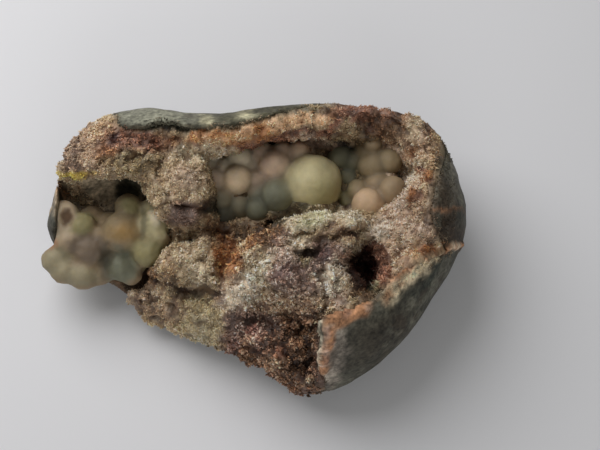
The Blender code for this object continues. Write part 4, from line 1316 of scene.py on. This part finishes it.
def make_floor():
    """A plain pale floor."""
    bm = bmesh.new()
    bmesh.ops.create_grid(bm, x_segments=2, y_segments=2, size=FLOOR_HALF_SIZE)
    mesh = bpy.data.meshes.new("floor")
    bm.to_mesh(mesh)
    bm.free()
    paper = bpy.data.materials.new("Pale floor")
    paper.use_nodes = True
    shader = paper.node_tree.nodes["Principled BSDF"]
    shader.inputs["Base Color"].default_value = FLOOR_COLOUR
    shader.inputs["Roughness"].default_value = FLOOR_ROUGHNESS
    mesh.materials.append(paper)
    floor = new_object("floor", mesh)


def add_softbox(name, place, size, power):
    """A soft lamp at a place in millimetres, turned to the specimen."""
    lamp = bpy.data.lights.new(name, "AREA")
    lamp.shape = "DISK"
    lamp.size = size * MM
    lamp.energy = power
    obj = new_object(name, lamp)
    obj.location = Vector(place) * MM
    obj.rotation_euler = (-obj.location).to_track_quat("-Z", "Y").to_euler()


def make_stage():
    """The floor, soft light from the upper left and the camera."""
    make_floor()
    for lamp in LAMPS:
        add_softbox(*lamp)
    world = bpy.data.worlds.new("studio")
    world.use_nodes = True
    sky = world.node_tree.nodes["Background"]
    sky.inputs["Color"].default_value = SKY_COLOUR
    sky.inputs["Strength"].default_value = SKY_STRENGTH
    bpy.context.scene.world = world
    bpy.context.scene.view_settings.view_transform = "Standard"
    camera = bpy.data.cameras.new("camera")
    camera.lens = VIEW_LENS
    camera.sensor_width = SENSOR_WIDTH
    camera.clip_start, camera.clip_end = 0.01, 10
    viewer = new_object("camera", camera)
    back = Vector(TO_CAMERA)
    viewer.location = Vector(VIEW_TARGET) * MM + back * VIEW_DISTANCE * MM
    viewer.rotation_euler = (-back).to_track_quat("-Z", "Y").to_euler()
    bpy.context.scene.camera = viewer


# Operators and panel


class SPECIMEN_OT_pebble(Operator):
    """Make the worn pebble, with the orange seam and crystals along its broken edge"""

    bl_idname = "specimen.pebble"
    bl_label = "Worn pebble"

    def execute(self, context):
        make_edge_sugar(make_worn_pebble())
        return {"FINISHED"}


class SPECIMEN_OT_crust(Operator):
    """Make the crust and sow its crystals"""

    bl_idname = "specimen.crust"
    bl_label = "Crystal crust"

    def execute(self, context):
        make_sugar(*make_crust_skin())
        return {"FINISHED"}


class SPECIMEN_OT_hollow_globes(Operator):
    """Make the waxy globes in the hollow"""

    bl_idname = "specimen.hollow_globes"
    bl_label = "Hollow globes"

    def execute(self, context):
        make_hollow_globes()
        return {"FINISHED"}


class SPECIMEN_OT_end_globes(Operator):
    """Make the cluster of globes at the left end"""

    bl_idname = "specimen.end_globes"
    bl_label = "End globes"

    def execute(self, context):
        make_end_globes()
        return {"FINISHED"}


class SPECIMEN_OT_stage(Operator):
    """Set up the floor, the light and the camera"""

    bl_idname = "specimen.stage"
    bl_label = "Stage"

    def execute(self, context):
        make_stage()
        return {"FINISHED"}


class SPECIMEN_PT_panel(Panel):
    """Lists the specimen's sizes, colours and pieces"""

    bl_idname = "SPECIMEN_PT_panel"
    bl_label = "Aragonite specimen"
    bl_space_type = "VIEW_3D"
    bl_region_type = "UI"
    bl_category = "Specimen"

    def draw(self, context):
        for group in (*COLOUR_GROUPS, "specimen_sizes"):
            settings = getattr(context.scene, group)
            column = self.layout.column(align=True)
            for name in settings.__annotations__:
                column.prop(settings, name)
        for operator in OPERATORS:
            self.layout.operator(operator.bl_idname)


OPERATORS = (
    SPECIMEN_OT_pebble,
    SPECIMEN_OT_crust,
    SPECIMEN_OT_hollow_globes,
    SPECIMEN_OT_end_globes,
    SPECIMEN_OT_stage,
)
GROUPS = {
    "crystal_colours": CrystalColours,
    "skin_colours": SkinColours,
    "globe_colours": GlobeColours,
    "specimen_sizes": SpecimenSizes,
}


def register():
    for made in (*GROUPS.values(), *OPERATORS, SPECIMEN_PT_panel):
        bpy.utils.register_class(made)
    for name, group in GROUPS.items():
        setattr(bpy.types.Scene, name, PointerProperty(type=group))


def unregister():
    for name in GROUPS:
        delattr(bpy.types.Scene, name)
    for made in (SPECIMEN_PT_panel, *reversed(OPERATORS), *reversed(GROUPS.values())):
        bpy.utils.unregister_class(made)


def main():
    register()
    bpy.ops.specimen.pebble()
    bpy.ops.specimen.crust()
    bpy.ops.specimen.hollow_globes()
    bpy.ops.specimen.end_globes()
    bpy.ops.specimen.stage()


if __name__ == "__main__":
    main()
